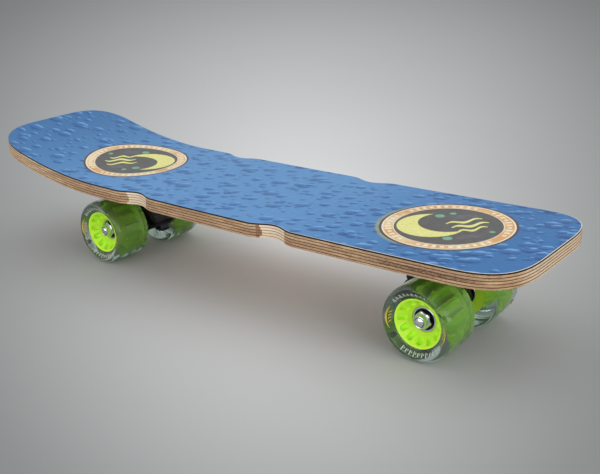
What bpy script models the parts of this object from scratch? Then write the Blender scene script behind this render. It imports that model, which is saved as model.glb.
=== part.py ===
"""Small cruiser skateboard with a kicked tail, narrow cast trucks and soft translucent wheels.

Units are metres. +X runs from the tail to the nose, +Y to the board's left, +Z up.
The origin is on the ground, under the middle of the board's length and width.
"""
import math

import bmesh
import bpy
from mathutils import Matrix, Vector

# Clearance left between two pieces that touch
GAP = 0.0003

# How far a cutter runs past what it cuts
CUT_CLEARANCE = 0.004

# Deck, seen from above
DECK_LENGTH = 0.620
DECK_WIDTH = 0.160
NOSE_CORNER_LENGTH = 0.060
TAIL_CORNER_LENGTH = 0.052
CORNER_BREADTH = 0.061
NOSE_CORNER_POWER = 3.1
TAIL_CORNER_POWER = 2.8
NOTCH_MIDDLE_X = 0.001
NOTCH_OFFSET = 0.0855
NOTCH_LENGTH = 0.050
NOTCH_DEPTH = 0.0070

# Deck, seen from the side
PLYWOOD_THICKNESS = 0.0119
SHEET_THICKNESS = 0.0010
SHEET_SETBACK = 0.0004
LOW_POINT_X = -0.035
ROCKER_RADIUS = 15.1
KICK_LENGTH = 0.170
KICK_RADIUS = 0.494

# Trucks, bolted under the deck, each placed from its end of the board
NOSE_OVERHANG = 0.0919
TAIL_OVERHANG = 0.1441
TRUCK_HEIGHT = 0.0485
RISER_THICKNESS = 0.0024
PLATE_LENGTH = 0.076
PLATE_WIDTH = 0.055
PLATE_THICKNESS = 0.0055
PLATE_CORNER_RADIUS = 0.008
PLATE_CENTRE_X = -0.003
BOLT_SPACING_LENGTH = 0.054
BOLT_SPACING_WIDTH = 0.0413
RISER_MARGIN = 0.0015

# Kingpin and its stack, measured from the middle of the hanger's ring
RING_CENTRE = Vector((0.0272, 0.0, 0.0165))
KINGPIN_LEAN = math.radians(20.0)
KINGPIN_RADIUS = 0.00475
KINGPIN_HEAD_ACROSS_FLATS = 0.0140
KINGPIN_HEAD_HEIGHT = 0.0052
KINGPIN_SEAT_THICKNESS = 0.0052
KINGPIN_TAIL = 0.0010
KINGPIN_CHAMFER = 0.0010
KINGPIN_NUT_ACROSS_FLATS = 0.0150
KINGPIN_NUT_HEIGHT = 0.0062
RING_WEB = 0.0064
RING_SEAT_DEPTH = 0.0018
RING_WALL = 0.0022
RING_HOLE_RADIUS = 0.0070
BUSHING_RADIUS = 0.0125
UPPER_BUSHING_END_RADIUS = 0.0113
LOWER_BUSHING_END_RADIUS = 0.0103
UPPER_BUSHING_HEIGHT = 0.0125
LOWER_BUSHING_HEIGHT = 0.0110
BUSHING_EDGE = 0.0008
WASHER_THICKNESS = 0.0015
WASHER_LIP = 0.0012
WASHER_EDGE = 0.0005
UPPER_WASHER_RADIUS = 0.0134
LOWER_WASHER_RADIUS = 0.0142

# Pivot, at the outer end of the truck
PIVOT_CENTRE = Vector((-0.025, 0.0, 0.0365))
PIVOT_SLOPE = math.radians(42.0)
PIVOT_TIP_RADIUS = 0.0050
PIVOT_TIP_LENGTH = 0.0070
PIVOT_NECK_LENGTH = 0.0220
PIVOT_NECK_FLARE = 0.0088
PIVOT_NECK_RADIUS = 0.0085
PIVOT_CUP_WALL = 0.0019
PIVOT_CUP_FLOOR = 0.0013
PIVOT_CUP_REACH = 0.0040
PIVOT_CUP_FLARE = 0.0011
PIVOT_CUP_PROUD = 0.0008
PIVOT_HOUSING_WALL = 0.0032
PIVOT_HOUSING_TAPER = 0.0020

# Casting details of the baseplate
BOSS_MARGIN = 0.0004
BOSS_FLARE = 0.0012
PLATE_WEB_THICKNESS = 0.0060
PLATE_WEB_DEPTH = 0.0040

# Hanger and axle
HANGER_HALF_WIDTH = 0.0192
HANGER_END_RADIUS = 0.0078
HANGER_END_TAPER = 0.0040
AXLE_HOUSING_RADIUS = 0.0115
AXLE_RADIUS = 0.0040
AXLE_TAIL = 0.0009
AXLE_CHAMFER = 0.0008
REAR_WEB_HALF_WIDTH = 0.0130
FRONT_WEB_HALF_WIDTH = 0.0152
WEB_RING_OFFSET = 0.0080
WEB_SETBACK = 0.0006
KNEE_X = 0.0160
KNEE_Z = -0.0095

# Wheels, measured outward from the middle of the truck
WHEEL_RADIUS = 0.0335
WHEEL_INNER_FACE = 0.0203
WHEEL_WIDTH = 0.0401
TREAD_INNER_LIP = 0.0025
TREAD_OUTER_LIP = 0.0075
WHEEL_CREST_RADIUS = 0.0290
CORE_RIM_RADIUS = 0.0218
CORE_RIM_RECESS = 0.0042
CORE_RIM_EDGE = 0.0036
CORE_RIM_WALL = 0.0011
CORE_FLARE = 0.0120
CORE_WAIST_RADIUS = 0.0172
CORE_FLANGE = 0.0045
CORE_INNER_RADIUS = 0.0204
DIMPLE_COUNT = 12
DIMPLE_DEPTH = 0.0010
DIMPLE_MARGIN = 0.0007
DISH_LIP = 0.0008
BEARING_RADIUS = 0.0110
BEARING_WIDTH = 0.0070
BEARING_RACE = 0.0018
SHIELD_DEPTH = 0.0005
SPACER_LENGTH = 0.0100
SPACER_RADIUS = 0.0056
SPEED_WASHER_THICKNESS = 0.0008
SPEED_WASHER_RADIUS = 0.0060
AXLE_NUT_ACROSS_FLATS = 0.0140
AXLE_NUT_HEIGHT = 0.0076
AXLE_NUT_BARREL_RADIUS = 0.0053
AXLE_NUT_BARREL_HEIGHT = 0.0046

# Mounting bolts
BOLT_RADIUS = 0.0024
BOLT_HEAD_RADIUS = 0.0046
BOLT_HEAD_HEIGHT = 0.0026
BOLT_NUT_ACROSS_FLATS = 0.0095
BOLT_NUT_HEIGHT = 0.0045
BOLT_TAIL = 0.0012

# Lock nuts on the kingpins and axles
NUT_CHAMFER = 0.0007
NUT_RIM_SETBACK = 0.0003
KINGPIN_NUT_COLLAR_RADIUS = 0.0065
KINGPIN_NUT_COLLAR_HEIGHT = 0.0014

# Facets round each piece
WHEEL_SEGMENTS = 24
RING_SEGMENTS = 16
BEARING_SEGMENTS = 12
PIVOT_SEGMENTS = 12
SMALL_SEGMENTS = 10
BOLT_SEGMENTS = 8

# Stations along the deck's outline
CORNER_STEPS = 8
NOTCH_STEPS = 12
SIDE_STEP = 0.045
KICK_STEP = 0.012

FINISHES = {}


def finish(name, colour, roughness, metallic=0.0, transmission=0.0):
    """One Principled material, its colour given as 0 to 255 display values."""
    if name not in FINISHES:
        material = bpy.data.materials.new(name)
        material.use_nodes = True
        shader = material.node_tree.nodes["Principled BSDF"]
        linear = [(value / 255.0) ** 2.2 for value in colour]
        shader.inputs["Base Color"].default_value = (*linear, 1.0)
        shader.inputs["Roughness"].default_value = roughness
        shader.inputs["Metallic"].default_value = metallic
        shader.inputs["Transmission Weight"].default_value = transmission
        material.diffuse_color = (*linear, 1.0)
        FINISHES[name] = material
    return FINISHES[name]


def plywood():
    return finish("maple_plywood", (196, 150, 104), 0.55)


def printed_sheet():
    return finish("printed_blue_sheet", (84, 132, 190), 0.45)


def cast_black():
    return finish("black_cast_aluminium", (16, 16, 18), 0.45, 0.4)


def black_steel():
    return finish("black_steel", (24, 24, 26), 0.35, 0.8)


def bright_steel():
    return finish("bright_steel", (205, 208, 212), 0.22, 1.0)


def black_urethane():
    return finish("black_urethane", (18, 18, 18), 0.6)


def clear_urethane():
    return finish("clear_urethane", (104, 130, 104), 0.2, 0.0, 0.5)


def lime_plastic():
    return finish("lime_plastic", (186, 240, 48), 0.4)


def empty(name, parent=None, matrix=None):
    """A named frame that carries pieces."""
    frame = bpy.data.objects.new(name, None)
    frame.empty_display_size = 0.02
    bpy.context.collection.objects.link(frame)
    frame.parent = parent
    if matrix is not None:
        frame.matrix_local = matrix
    return frame


def piece(name, mesh, material, parent=None, location=(0.0, 0.0, 0.0), turn_x=0.0):
    """An object that is one sub-part."""
    body = bpy.data.objects.new(name, mesh)
    bpy.context.collection.objects.link(body)
    if not mesh.materials:
        mesh.materials.append(material)
    body.parent = parent
    body.location = location
    body.rotation_euler = (turn_x, 0.0, 0.0)
    return body


def smooth(mesh, degrees=35.0):
    mesh.shade_smooth()
    mesh.set_sharp_from_angle(angle=math.radians(degrees))
    return mesh


def mesh_of(builder, name):
    """Turn a finished bmesh into a mesh with its faces pointing out."""
    bmesh.ops.remove_doubles(builder, verts=builder.verts, dist=1e-6)
    bmesh.ops.recalc_face_normals(builder, faces=builder.faces)
    mesh = bpy.data.meshes.new(name)
    builder.to_mesh(mesh)
    builder.free()
    return mesh


def turned(name, profile, segments, start_angle=0.0):
    """Spin a closed outline of (radius, height) points once round the Z axis."""
    builder = bmesh.new()
    rotation = Matrix.Rotation(start_angle, 4, "Z")
    ring = [builder.verts.new(rotation @ Vector((radius, 0.0, height))) for radius, height in profile]
    edges = [builder.edges.new((ring[i], ring[(i + 1) % len(ring)])) for i in range(len(ring))]
    bmesh.ops.spin(
        builder,
        geom=ring + edges,
        axis=(0.0, 0.0, 1.0),
        cent=(0.0, 0.0, 0.0),
        steps=segments,
        angle=math.tau,
        use_merge=True,
        use_duplicate=False,
    )
    bmesh.ops.remove_doubles(builder, verts=builder.verts, dist=1e-7)
    spare = [edge for edge in builder.edges if not edge.link_faces]
    bmesh.ops.delete(builder, geom=spare, context="EDGES")
    return smooth(mesh_of(builder, name))


def skinned(name, loops, wrap=False):
    """Join loops of equally many points in order, and close the ends or wrap the last to the first."""
    builder = bmesh.new()
    rings = [[builder.verts.new(point) for point in loop] for loop in loops]
    count = len(rings[0])
    for first, second in zip(rings, rings[1:] + rings[:1] * wrap):
        for i in range(count):
            j = (i + 1) % count
            builder.faces.new((first[i], first[j], second[j], second[i]))
    if not wrap:
        builder.faces.new(rings[0])
        builder.faces.new(rings[-1][::-1])
    return smooth(mesh_of(builder, name))


def tube_outline(radius, bottom, top):
    """Half outline of a plain cylinder."""
    return [(0.0, bottom), (radius, bottom), (radius, top), (0.0, top)]


def prism(name, outline, depth, bottom=0.0):
    """Extrude a closed (x, y) outline upward."""
    builder = bmesh.new()
    face = builder.faces.new([builder.verts.new((x, y, bottom)) for x, y in outline])
    extruded = bmesh.ops.extrude_face_region(builder, geom=[face])
    moved = [item for item in extruded["geom"] if isinstance(item, bmesh.types.BMVert)]
    bmesh.ops.translate(builder, verts=moved, vec=(0.0, 0.0, depth))
    return mesh_of(builder, name)


def hull(name, points):
    """The convex body round a set of points."""
    builder = bmesh.new()
    for point in points:
        builder.verts.new(point)
    result = bmesh.ops.convex_hull(builder, input=builder.verts)
    spare = {item for key in ("geom_interior", "geom_unused") for item in result[key]}
    bmesh.ops.delete(builder, geom=[v for v in spare if isinstance(v, bmesh.types.BMVert)], context="VERTS")
    bmesh.ops.dissolve_limit(builder, angle_limit=math.radians(1.0), verts=builder.verts, edges=builder.edges)
    return smooth(mesh_of(builder, name))


def circle(centre, normal, radius, count):
    """Points round a circle that faces along a direction in the XZ plane or along Y."""
    normal = Vector(normal).normalized()
    side = Vector((0.0, 1.0, 0.0))
    if abs(normal.y) > 0.9:
        side = Vector((1.0, 0.0, 0.0))
    other = normal.cross(side)
    angles = [math.tau * i / count for i in range(count)]
    return [Vector(centre) + radius * (math.cos(a) * side + math.sin(a) * other) for a in angles]


def carved(name, base, added=(), removed=()):
    """Join and cut meshes with Boolean modifiers and return the finished mesh."""
    body = bpy.data.objects.new(name, base)
    bpy.context.collection.objects.link(body)
    tools = []
    for operation, meshes in (("UNION", added), ("DIFFERENCE", removed)):
        for mesh in meshes:
            tool = bpy.data.objects.new(name + "_tool", mesh)
            bpy.context.collection.objects.link(tool)
            modifier = body.modifiers.new(operation.lower(), "BOOLEAN")
            modifier.operation = operation
            modifier.solver = "EXACT"
            modifier.object = tool
            tools.append(tool)
    evaluated = body.evaluated_get(bpy.context.evaluated_depsgraph_get())
    builder = bmesh.new()
    builder.from_mesh(evaluated.to_mesh())
    evaluated.to_mesh_clear()
    for spent in [body] + tools:
        bpy.data.objects.remove(spent)
    bmesh.ops.triangulate(builder, faces=[f for f in builder.faces if len(f.verts) > 4])
    return smooth(mesh_of(builder, name))


def moved(mesh, matrix):
    mesh.transform(matrix)
    return mesh


def along(direction, origin=(0.0, 0.0, 0.0)):
    """The matrix that takes +Z to a direction in the XZ plane, and the origin to a point."""
    axis_z = Vector(direction).normalized()
    axis_y = Vector((0.0, 1.0, 0.0))
    axis_x = axis_y.cross(axis_z)
    rotation = Matrix((axis_x, axis_y, axis_z)).transposed().to_4x4()
    return Matrix.Translation(origin) @ rotation


def hexagon(across_flats):
    """A hexagon's corners, with two flats across X."""
    reach = across_flats / math.sqrt(3.0)
    return [(reach * math.cos(a), reach * math.sin(a)) for a in (math.tau * i / 6 for i in range(6))]


# The deck's curves, by depth below the top of its sheet


def plywood_top():
    return SHEET_THICKNESS + GAP


def underside():
    return plywood_top() + PLYWOOD_THICKNESS


def kick_start():
    return KICK_LENGTH - 0.5 * DECK_LENGTH


def front_mount():
    return 0.5 * DECK_LENGTH - NOSE_OVERHANG


def rear_mount():
    return TAIL_OVERHANG - 0.5 * DECK_LENGTH


def deck_rise(x, depth):
    """How far the long shallow curve and the kicked tail lift the deck, at a depth below its top."""
    rocker = (x - LOW_POINT_X) ** 2 / (2.0 * ROCKER_RADIUS)
    radius = KICK_RADIUS + depth
    kick = radius - math.sqrt(radius ** 2 - max(kick_start() - x, 0.0) ** 2)
    return rocker + kick


def underside_normal(x):
    """The direction square to the plywood's underside."""
    reach = max(kick_start() - x, 0.0)
    radius = KICK_RADIUS + underside()
    slope = (x - LOW_POINT_X) / ROCKER_RADIUS - reach / math.sqrt(radius ** 2 - reach ** 2)
    return Vector((-slope, 0.0, 1.0)).normalized()


def deck_top():
    """Height of the deck's top at its low point, which leaves room for the thinner pad, at the rear truck."""
    x = rear_mount()
    stack = TRUCK_HEIGHT + GAP + RISER_THICKNESS + GAP
    mount_height = WHEEL_RADIUS + stack * underside_normal(x).z
    return mount_height + underside() - deck_rise(x, underside())


def deck_height(x, depth):
    """Height of the deck at a place, at a depth below the top of its sheet."""
    return deck_top() - depth + deck_rise(x, depth)


def underside_point(x):
    """A point on the plywood's underside and the direction square to it."""
    return Vector((x, 0.0, deck_height(x, underside()))), underside_normal(x)


def corner(end_x, direction, length, power):
    """A quarter of a superellipse, from the end of the deck round to its side."""
    points = []
    for i in range(CORNER_STEPS + 1):
        angle = 0.5 * math.pi * i / CORNER_STEPS
        along_x = math.cos(angle) ** (2.0 / power)
        across = math.sin(angle) ** (2.0 / power)
        x = end_x - direction * length * (1.0 - along_x)
        points.append((x, 0.5 * DECK_WIDTH - CORNER_BREADTH * (1.0 - across)))
    return points


def notch_centres():
    return NOTCH_MIDDLE_X + NOTCH_OFFSET, NOTCH_MIDDLE_X - NOTCH_OFFSET


def notch_depth(x):
    """How far the finger notches, which are smooth dips, cut into a side at a place."""
    depth = 0.0
    for centre in notch_centres():
        share = min(abs(x - centre) / NOTCH_LENGTH, 0.5)
        depth += NOTCH_DEPTH * 0.5 * (1.0 + math.cos(math.tau * share))
    return depth


def side_stations(start, end):
    """Places along a side between its two corners, closer together in the notches and in the kick."""
    marks = [start, end, kick_start()]
    for centre in notch_centres():
        marks += [centre + NOTCH_LENGTH * (0.5 - i / NOTCH_STEPS) for i in range(NOTCH_STEPS + 1)]
    marks = sorted((x for x in marks if end <= x <= start), reverse=True)
    places = []
    for first, second in zip(marks, marks[1:]):
        spacing = SIDE_STEP if first > kick_start() else KICK_STEP
        count = max(1, math.ceil((first - second) / spacing))
        places += [first + (second - first) * i / count for i in range(count)]
    return places[1:]


def half_outline():
    """The deck's left side from nose to tail, as (x, half width) stations."""
    half_length = 0.5 * DECK_LENGTH
    nose = corner(half_length, 1.0, NOSE_CORNER_LENGTH, NOSE_CORNER_POWER)
    tail = corner(-half_length, -1.0, TAIL_CORNER_LENGTH, TAIL_CORNER_POWER)[::-1]
    side = [(x, 0.5 * DECK_WIDTH - notch_depth(x)) for x in side_stations(nose[-1][0], tail[0][0])]
    return nose + side + tail


def slab(name, lower_depth, upper_depth, inset=0.0):
    """A layer of the deck between two depths, with upright edges all round."""
    rows = []
    limit = 0.5 * DECK_LENGTH - inset
    for x, half_width in half_outline():
        width = half_width - inset
        x = max(min(x, limit), -limit)
        low = deck_height(x, lower_depth)
        high = deck_height(x, upper_depth)
        rows.append([(x, -width, low), (x, width, low), (x, width, high), (x, -width, high)])
    return skinned(name, rows)


def mount_frame(mount_x, inboard):
    """The truck's frame: origin on the axle, +X to the middle of the board, +Z square to the deck."""
    base, normal = underside_point(mount_x)
    reach = (base.z - WHEEL_RADIUS) / normal.z
    axle = base - reach * normal
    axis_x = Vector((normal.z, 0.0, -normal.x)) * inboard
    axis_y = normal.cross(axis_x)
    rotation = Matrix((axis_x, axis_y, normal)).transposed().to_4x4()
    return Matrix.Translation(axle) @ rotation, reach


def bolt_places():
    """The four bolts of a truck, in its own frame."""
    half_length = 0.5 * BOLT_SPACING_LENGTH
    half_width = 0.5 * BOLT_SPACING_WIDTH
    corners = ((1.0, 1.0), (1.0, -1.0), (-1.0, 1.0), (-1.0, -1.0))
    return [(PLATE_CENTRE_X + i * half_length, j * half_width) for i, j in corners]


def countersunk(shank_radius, head_radius, bottom, top):
    """Half outline of a countersunk bolt, or of the hole that takes it."""
    return [
        (0.0, bottom),
        (shank_radius, bottom),
        (shank_radius, top - BOLT_HEAD_HEIGHT),
        (head_radius, top),
        (0.0, top),
    ]


def four_of(name, single):
    """Copies of a cutter at a truck's four bolt places, in one mesh."""
    builder = bmesh.new()
    for x, y in bolt_places():
        copy = moved(single.copy(), Matrix.Translation((x, y, 0.0)))
        builder.from_mesh(copy)
        bpy.data.meshes.remove(copy)
    mesh = bpy.data.meshes.new(name)
    builder.to_mesh(mesh)
    builder.free()
    return mesh


def bolt_holes(bottom, top):
    """Plain round cutters for a truck's four bolts."""
    single = turned("bolt_hole", tube_outline(BOLT_RADIUS + GAP, bottom, top), BOLT_SEGMENTS)
    return four_of("bolt_holes", single)


def deck(frames):
    """The pressed plywood, drilled and countersunk for the truck bolts, and the sheet that covers them."""
    wood = slab("deck_plywood", underside(), plywood_top())
    cutters = []
    for frame, reach in frames:
        top = reach + PLYWOOD_THICKNESS - GAP
        profile = countersunk(BOLT_RADIUS + GAP, BOLT_HEAD_RADIUS + GAP, reach - CUT_CLEARANCE, top)
        profile[-1:] = [(BOLT_HEAD_RADIUS + GAP, top + CUT_CLEARANCE), (0.0, top + CUT_CLEARANCE)]
        holes = four_of("head_holes", turned("head_hole", profile, BOLT_SEGMENTS))
        cutters.append(moved(holes, frame))
    piece("deck_plywood", carved("deck_plywood", wood, removed=cutters), plywood())
    piece("top_sheet", slab("top_sheet", SHEET_THICKNESS, 0.0, SHEET_SETBACK), printed_sheet())


def rounded_rectangle(length, width, radius, centre_x=0.0, steps=4):
    """A rectangle's outline with round corners."""
    points = []
    for quarter, (i, j) in enumerate(((1, 1), (-1, 1), (-1, -1), (1, -1))):
        middle = (centre_x + i * (0.5 * length - radius), j * (0.5 * width - radius))
        for step in range(steps + 1):
            angle = 0.5 * math.pi * (quarter + step / steps)
            points.append((middle[0] + radius * math.cos(angle), middle[1] + radius * math.sin(angle)))
    return points


def riser_pad(name, frame, reach):
    """The soft pad between truck and deck, with its upper face shaped to the deck's curve."""
    outline = rounded_rectangle(
        PLATE_LENGTH + 2 * RISER_MARGIN,
        PLATE_WIDTH + 2 * RISER_MARGIN,
        PLATE_CORNER_RADIUS,
        PLATE_CENTRE_X,
    )
    bottom = TRUCK_HEIGHT + GAP
    block = prism(name, outline, reach + CUT_CLEARANCE - bottom, bottom)
    under_deck = moved(slab("under_deck", underside() + GAP, 0.0, -CUT_CLEARANCE), frame.inverted())
    holes = bolt_holes(bottom - CUT_CLEARANCE, reach + 2.0 * CUT_CLEARANCE)
    return carved(name, block, removed=[under_deck, holes])


def kingpin_up():
    return Vector((-math.sin(KINGPIN_LEAN), 0.0, math.cos(KINGPIN_LEAN)))


def pivot_down():
    return Vector((math.cos(PIVOT_SLOPE), 0.0, -math.sin(PIVOT_SLOPE)))


def ring_seat():
    """From the ring's middle to a bushing seat."""
    return 0.5 * RING_WEB


def upper_washer_top():
    return ring_seat() + GAP + UPPER_BUSHING_HEIGHT + GAP + WASHER_THICKNESS


def plate_seat():
    """From the ring's middle to the face of the baseplate that the upper washer bears on."""
    return upper_washer_top() + GAP


def kingpin_head_seat():
    return plate_seat() + KINGPIN_SEAT_THICKNESS


def lower_washer_bottom():
    return ring_seat() + GAP + LOWER_BUSHING_HEIGHT + GAP + WASHER_THICKNESS


def pivot_bore_radius():
    return PIVOT_TIP_RADIUS + GAP


def pivot_cup_radius():
    return pivot_bore_radius() + PIVOT_CUP_WALL


def pivot_cup_depth():
    """From the pivot's centre to the closed end of its cup."""
    return pivot_bore_radius() + PIVOT_CUP_FLOOR


def baseplate():
    """The cast plate: flange, leaning kingpin boss, pivot housing and a web between them."""
    bottom = TRUCK_HEIGHT - PLATE_THICKNESS
    root = TRUCK_HEIGHT - 0.5 * PLATE_THICKNESS
    outline = rounded_rectangle(PLATE_LENGTH, PLATE_WIDTH, PLATE_CORNER_RADIUS, PLATE_CENTRE_X)
    flange = prism("baseplate", outline, PLATE_THICKNESS, bottom)

    up = kingpin_up()
    seat = RING_CENTRE + plate_seat() * up
    boss_foot = RING_CENTRE + (root - RING_CENTRE.z) / up.z * up
    boss_radius = BUSHING_RADIUS + BOSS_MARGIN
    boss_points = circle(seat, up, boss_radius, RING_SEGMENTS)
    boss_points += circle(boss_foot, (0.0, 0.0, 1.0), boss_radius + BOSS_FLARE, RING_SEGMENTS)
    boss = hull("kingpin_boss", boss_points)

    down = pivot_down()
    housing_radius = pivot_cup_radius() + GAP + PIVOT_HOUSING_WALL
    mouth = PIVOT_CENTRE + (PIVOT_CUP_REACH - PIVOT_CUP_PROUD) * down
    back = PIVOT_CENTRE - pivot_cup_depth() * down
    housing_points = circle(mouth, down, housing_radius, PIVOT_SEGMENTS)
    housing_points += circle(back, down, housing_radius - PIVOT_HOUSING_TAPER, PIVOT_SEGMENTS)
    housing_points = [point for point in housing_points if point.z < root]
    for x in (back.x - 0.5 * housing_radius, mouth.x + 0.5 * housing_radius):
        housing_points += [Vector((x, side * housing_radius, root)) for side in (-1.0, 1.0)]
    housing = hull("pivot_housing", housing_points)

    web_points = []
    for x in (mouth.x, seat.x):
        for z in (root, bottom - PLATE_WEB_DEPTH):
            web_points += [Vector((x, side * PLATE_WEB_THICKNESS, z)) for side in (-0.5, 0.5)]
    web = hull("plate_web", web_points)

    clear = PLATE_LENGTH
    shank_hole = turned("shank_hole", tube_outline(KINGPIN_RADIUS + GAP, -clear, clear), SMALL_SEGMENTS)
    moved(shank_hole, along(up, seat))
    head_reach = KINGPIN_HEAD_ACROSS_FLATS / math.sqrt(3.0) + 2 * GAP
    head_pocket = turned("head_pocket", tube_outline(head_reach, 0.0, clear), SMALL_SEGMENTS)
    moved(head_pocket, along(up, RING_CENTRE + kingpin_head_seat() * up))
    cup_outline = tube_outline(pivot_cup_radius() + GAP, -pivot_cup_depth() - GAP, clear)
    cup_pocket = moved(turned("cup_pocket", cup_outline, PIVOT_SEGMENTS), along(down, PIVOT_CENTRE))
    holes = bolt_holes(bottom - CUT_CLEARANCE, TRUCK_HEIGHT + CUT_CLEARANCE)
    removed = [shank_hole, head_pocket, cup_pocket, holes]
    return carved("baseplate", flange, added=[boss, housing, web], removed=removed)


def ball(radius, count):
    """The closed half of a round tip in a half outline, from its side down to its pole."""
    angles = [0.5 * math.pi * i / count for i in range(count + 1)]
    return [(radius * math.cos(angle), -radius * math.sin(angle)) for angle in angles]


def pivot_cup():
    """The urethane cup, with a round bore that opens towards its mouth. +Z runs out of the mouth."""
    bore = pivot_bore_radius()
    outer = pivot_cup_radius()
    depth = pivot_cup_depth()
    profile = [(0.0, -depth), (outer, -depth), (outer, PIVOT_CUP_REACH)]
    profile.append((bore + PIVOT_CUP_FLARE, PIVOT_CUP_REACH))
    return turned("pivot_cup", profile + ball(bore, 3), PIVOT_SEGMENTS)


def hanger():
    """The cast hanger: axle housing, ring between the bushings, and the neck that ends in the pivot."""
    up = kingpin_up()
    down = pivot_down()
    across = Matrix.Rotation(math.radians(-90.0), 4, "X")
    half = HANGER_HALF_WIDTH
    shoulder = half - HANGER_END_TAPER
    housing_profile = [
        (0.0, -half),
        (HANGER_END_RADIUS, -half),
        (AXLE_HOUSING_RADIUS, -shoulder),
        (AXLE_HOUSING_RADIUS, shoulder),
        (HANGER_END_RADIUS, half),
        (0.0, half),
    ]
    housing = moved(turned("hanger", housing_profile, RING_SEGMENTS), across)

    ring_radius = BUSHING_RADIUS + GAP + RING_WALL
    half_ring = ring_seat() + RING_SEAT_DEPTH
    ring = turned("ring", tube_outline(ring_radius, -half_ring, half_ring), RING_SEGMENTS)
    moved(ring, along(up, RING_CENTRE))

    neck_profile = [
        (0.0, PIVOT_NECK_LENGTH),
        (PIVOT_NECK_RADIUS, PIVOT_NECK_LENGTH),
        (0.5 * (PIVOT_NECK_RADIUS + PIVOT_TIP_RADIUS), PIVOT_NECK_LENGTH - PIVOT_NECK_FLARE),
        (PIVOT_TIP_RADIUS, PIVOT_TIP_LENGTH),
    ]
    neck = turned("neck", neck_profile + ball(PIVOT_TIP_RADIUS, 3), PIVOT_SEGMENTS)
    moved(neck, along(down, PIVOT_CENTRE))

    body_radius = AXLE_HOUSING_RADIUS - WEB_SETBACK
    saddle = PIVOT_CENTRE + (PIVOT_NECK_LENGTH - WEB_SETBACK) * down
    rear_points = circle(saddle, down, PIVOT_NECK_RADIUS - WEB_SETBACK, PIVOT_SEGMENTS)
    front_points = []
    for point in circle(RING_CENTRE, up, ring_radius - WEB_SETBACK, RING_SEGMENTS):
        if point.x < RING_CENTRE.x - WEB_RING_OFFSET:
            front_points += [point + side * (half_ring - WEB_SETBACK) * up for side in (-1.0, 1.0)]
    for points, half_width in ((rear_points, REAR_WEB_HALF_WIDTH), (front_points, FRONT_WEB_HALF_WIDTH)):
        for y in (-half_width, half_width):
            points += circle((0.0, y, 0.0), (0.0, 1.0, 0.0), body_radius, PIVOT_SEGMENTS)
    front_points += [Vector((KNEE_X, side * FRONT_WEB_HALF_WIDTH, KNEE_Z)) for side in (-1.0, 1.0)]
    rear = hull("rear_web", rear_points)
    front = hull("front_web", front_points)

    clear = 2.0 * HANGER_HALF_WIDTH
    hole = turned("ring_hole", tube_outline(RING_HOLE_RADIUS, -clear, clear), SMALL_SEGMENTS)
    bore = turned("axle_bore", tube_outline(AXLE_RADIUS + GAP, -clear, clear), SMALL_SEGMENTS)
    removed = [moved(hole, along(up, RING_CENTRE)), moved(bore, across)]
    for direction, height in ((1.0, UPPER_BUSHING_HEIGHT), (-1.0, LOWER_BUSHING_HEIGHT)):
        seat = turned("bushing_seat", tube_outline(BUSHING_RADIUS + GAP, 0.0, height), RING_SEGMENTS)
        removed.append(moved(seat, along(direction * up, RING_CENTRE + direction * ring_seat() * up)))
    return carved("hanger", housing, added=[rear, front, ring, neck], removed=removed)


def bushing(name, height, end_radius):
    """A bushing that stands on Z = 0, widest at its seat and drawn in towards its washer."""
    bore = KINGPIN_RADIUS + GAP
    profile = [
        (bore, 0.0),
        (BUSHING_RADIUS, 0.0),
        (BUSHING_RADIUS, RING_SEAT_DEPTH + BUSHING_EDGE),
        (end_radius, height - BUSHING_EDGE),
        (end_radius - BUSHING_EDGE, height),
        (bore, height),
    ]
    return turned(name, profile, RING_SEGMENTS)


def cup_washer(name, radius):
    """A pressed washer whose turned-down lip holds the bushing. Its flat back is at the top."""
    bore = KINGPIN_RADIUS + GAP
    profile = [
        (bore, 0.0),
        (radius - WASHER_THICKNESS, 0.0),
        (radius - WASHER_THICKNESS, -WASHER_LIP),
        (radius, -WASHER_LIP),
        (radius - WASHER_EDGE, WASHER_THICKNESS),
        (bore, WASHER_THICKNESS),
    ]
    return turned(name, profile, RING_SEGMENTS)


def kingpin():
    """Hexagon-headed kingpin along Z, with zero at the ring's middle."""
    head_seat = kingpin_head_seat() + GAP
    end = lower_washer_bottom() + GAP + KINGPIN_NUT_HEIGHT + KINGPIN_TAIL
    top = head_seat + 0.5 * KINGPIN_HEAD_HEIGHT
    profile = [(0.0, -end), (KINGPIN_RADIUS - KINGPIN_CHAMFER, -end), (KINGPIN_RADIUS, KINGPIN_CHAMFER - end)]
    profile += [(KINGPIN_RADIUS, top), (0.0, top)]
    shank = turned("kingpin", profile, SMALL_SEGMENTS)
    head = prism("kingpin_head", hexagon(KINGPIN_HEAD_ACROSS_FLATS), KINGPIN_HEAD_HEIGHT, head_seat)
    return carved("kingpin", head, added=[shank])


def lock_nut(name, across_flats, height, shank_radius, collar, collar_height):
    """A nut with a chamfered hexagon and the round collar that holds its locking ring."""
    bore_radius = shank_radius + GAP
    flat_reach = 0.5 * across_flats
    rim = flat_reach - NUT_RIM_SETBACK
    shoulder = height - collar_height
    sections = (
        (bore_radius, bore_radius, 0.0),
        (flat_reach, across_flats / math.sqrt(3.0), 0.0),
        (flat_reach, across_flats / math.sqrt(3.0), shoulder - NUT_CHAMFER),
        (rim, rim, shoulder),
        (collar, collar, shoulder),
        (collar, collar, height),
        (bore_radius, bore_radius, height),
    )
    loops = []
    for flat_radius, corner_radius, level in sections:
        radii = (corner_radius, flat_radius) * 6
        angles = [math.tau * i / 12 for i in range(12)]
        loops.append([(r * math.cos(a), r * math.sin(a), level) for r, a in zip(radii, angles)])
    return skinned(name, loops, wrap=True)


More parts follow.
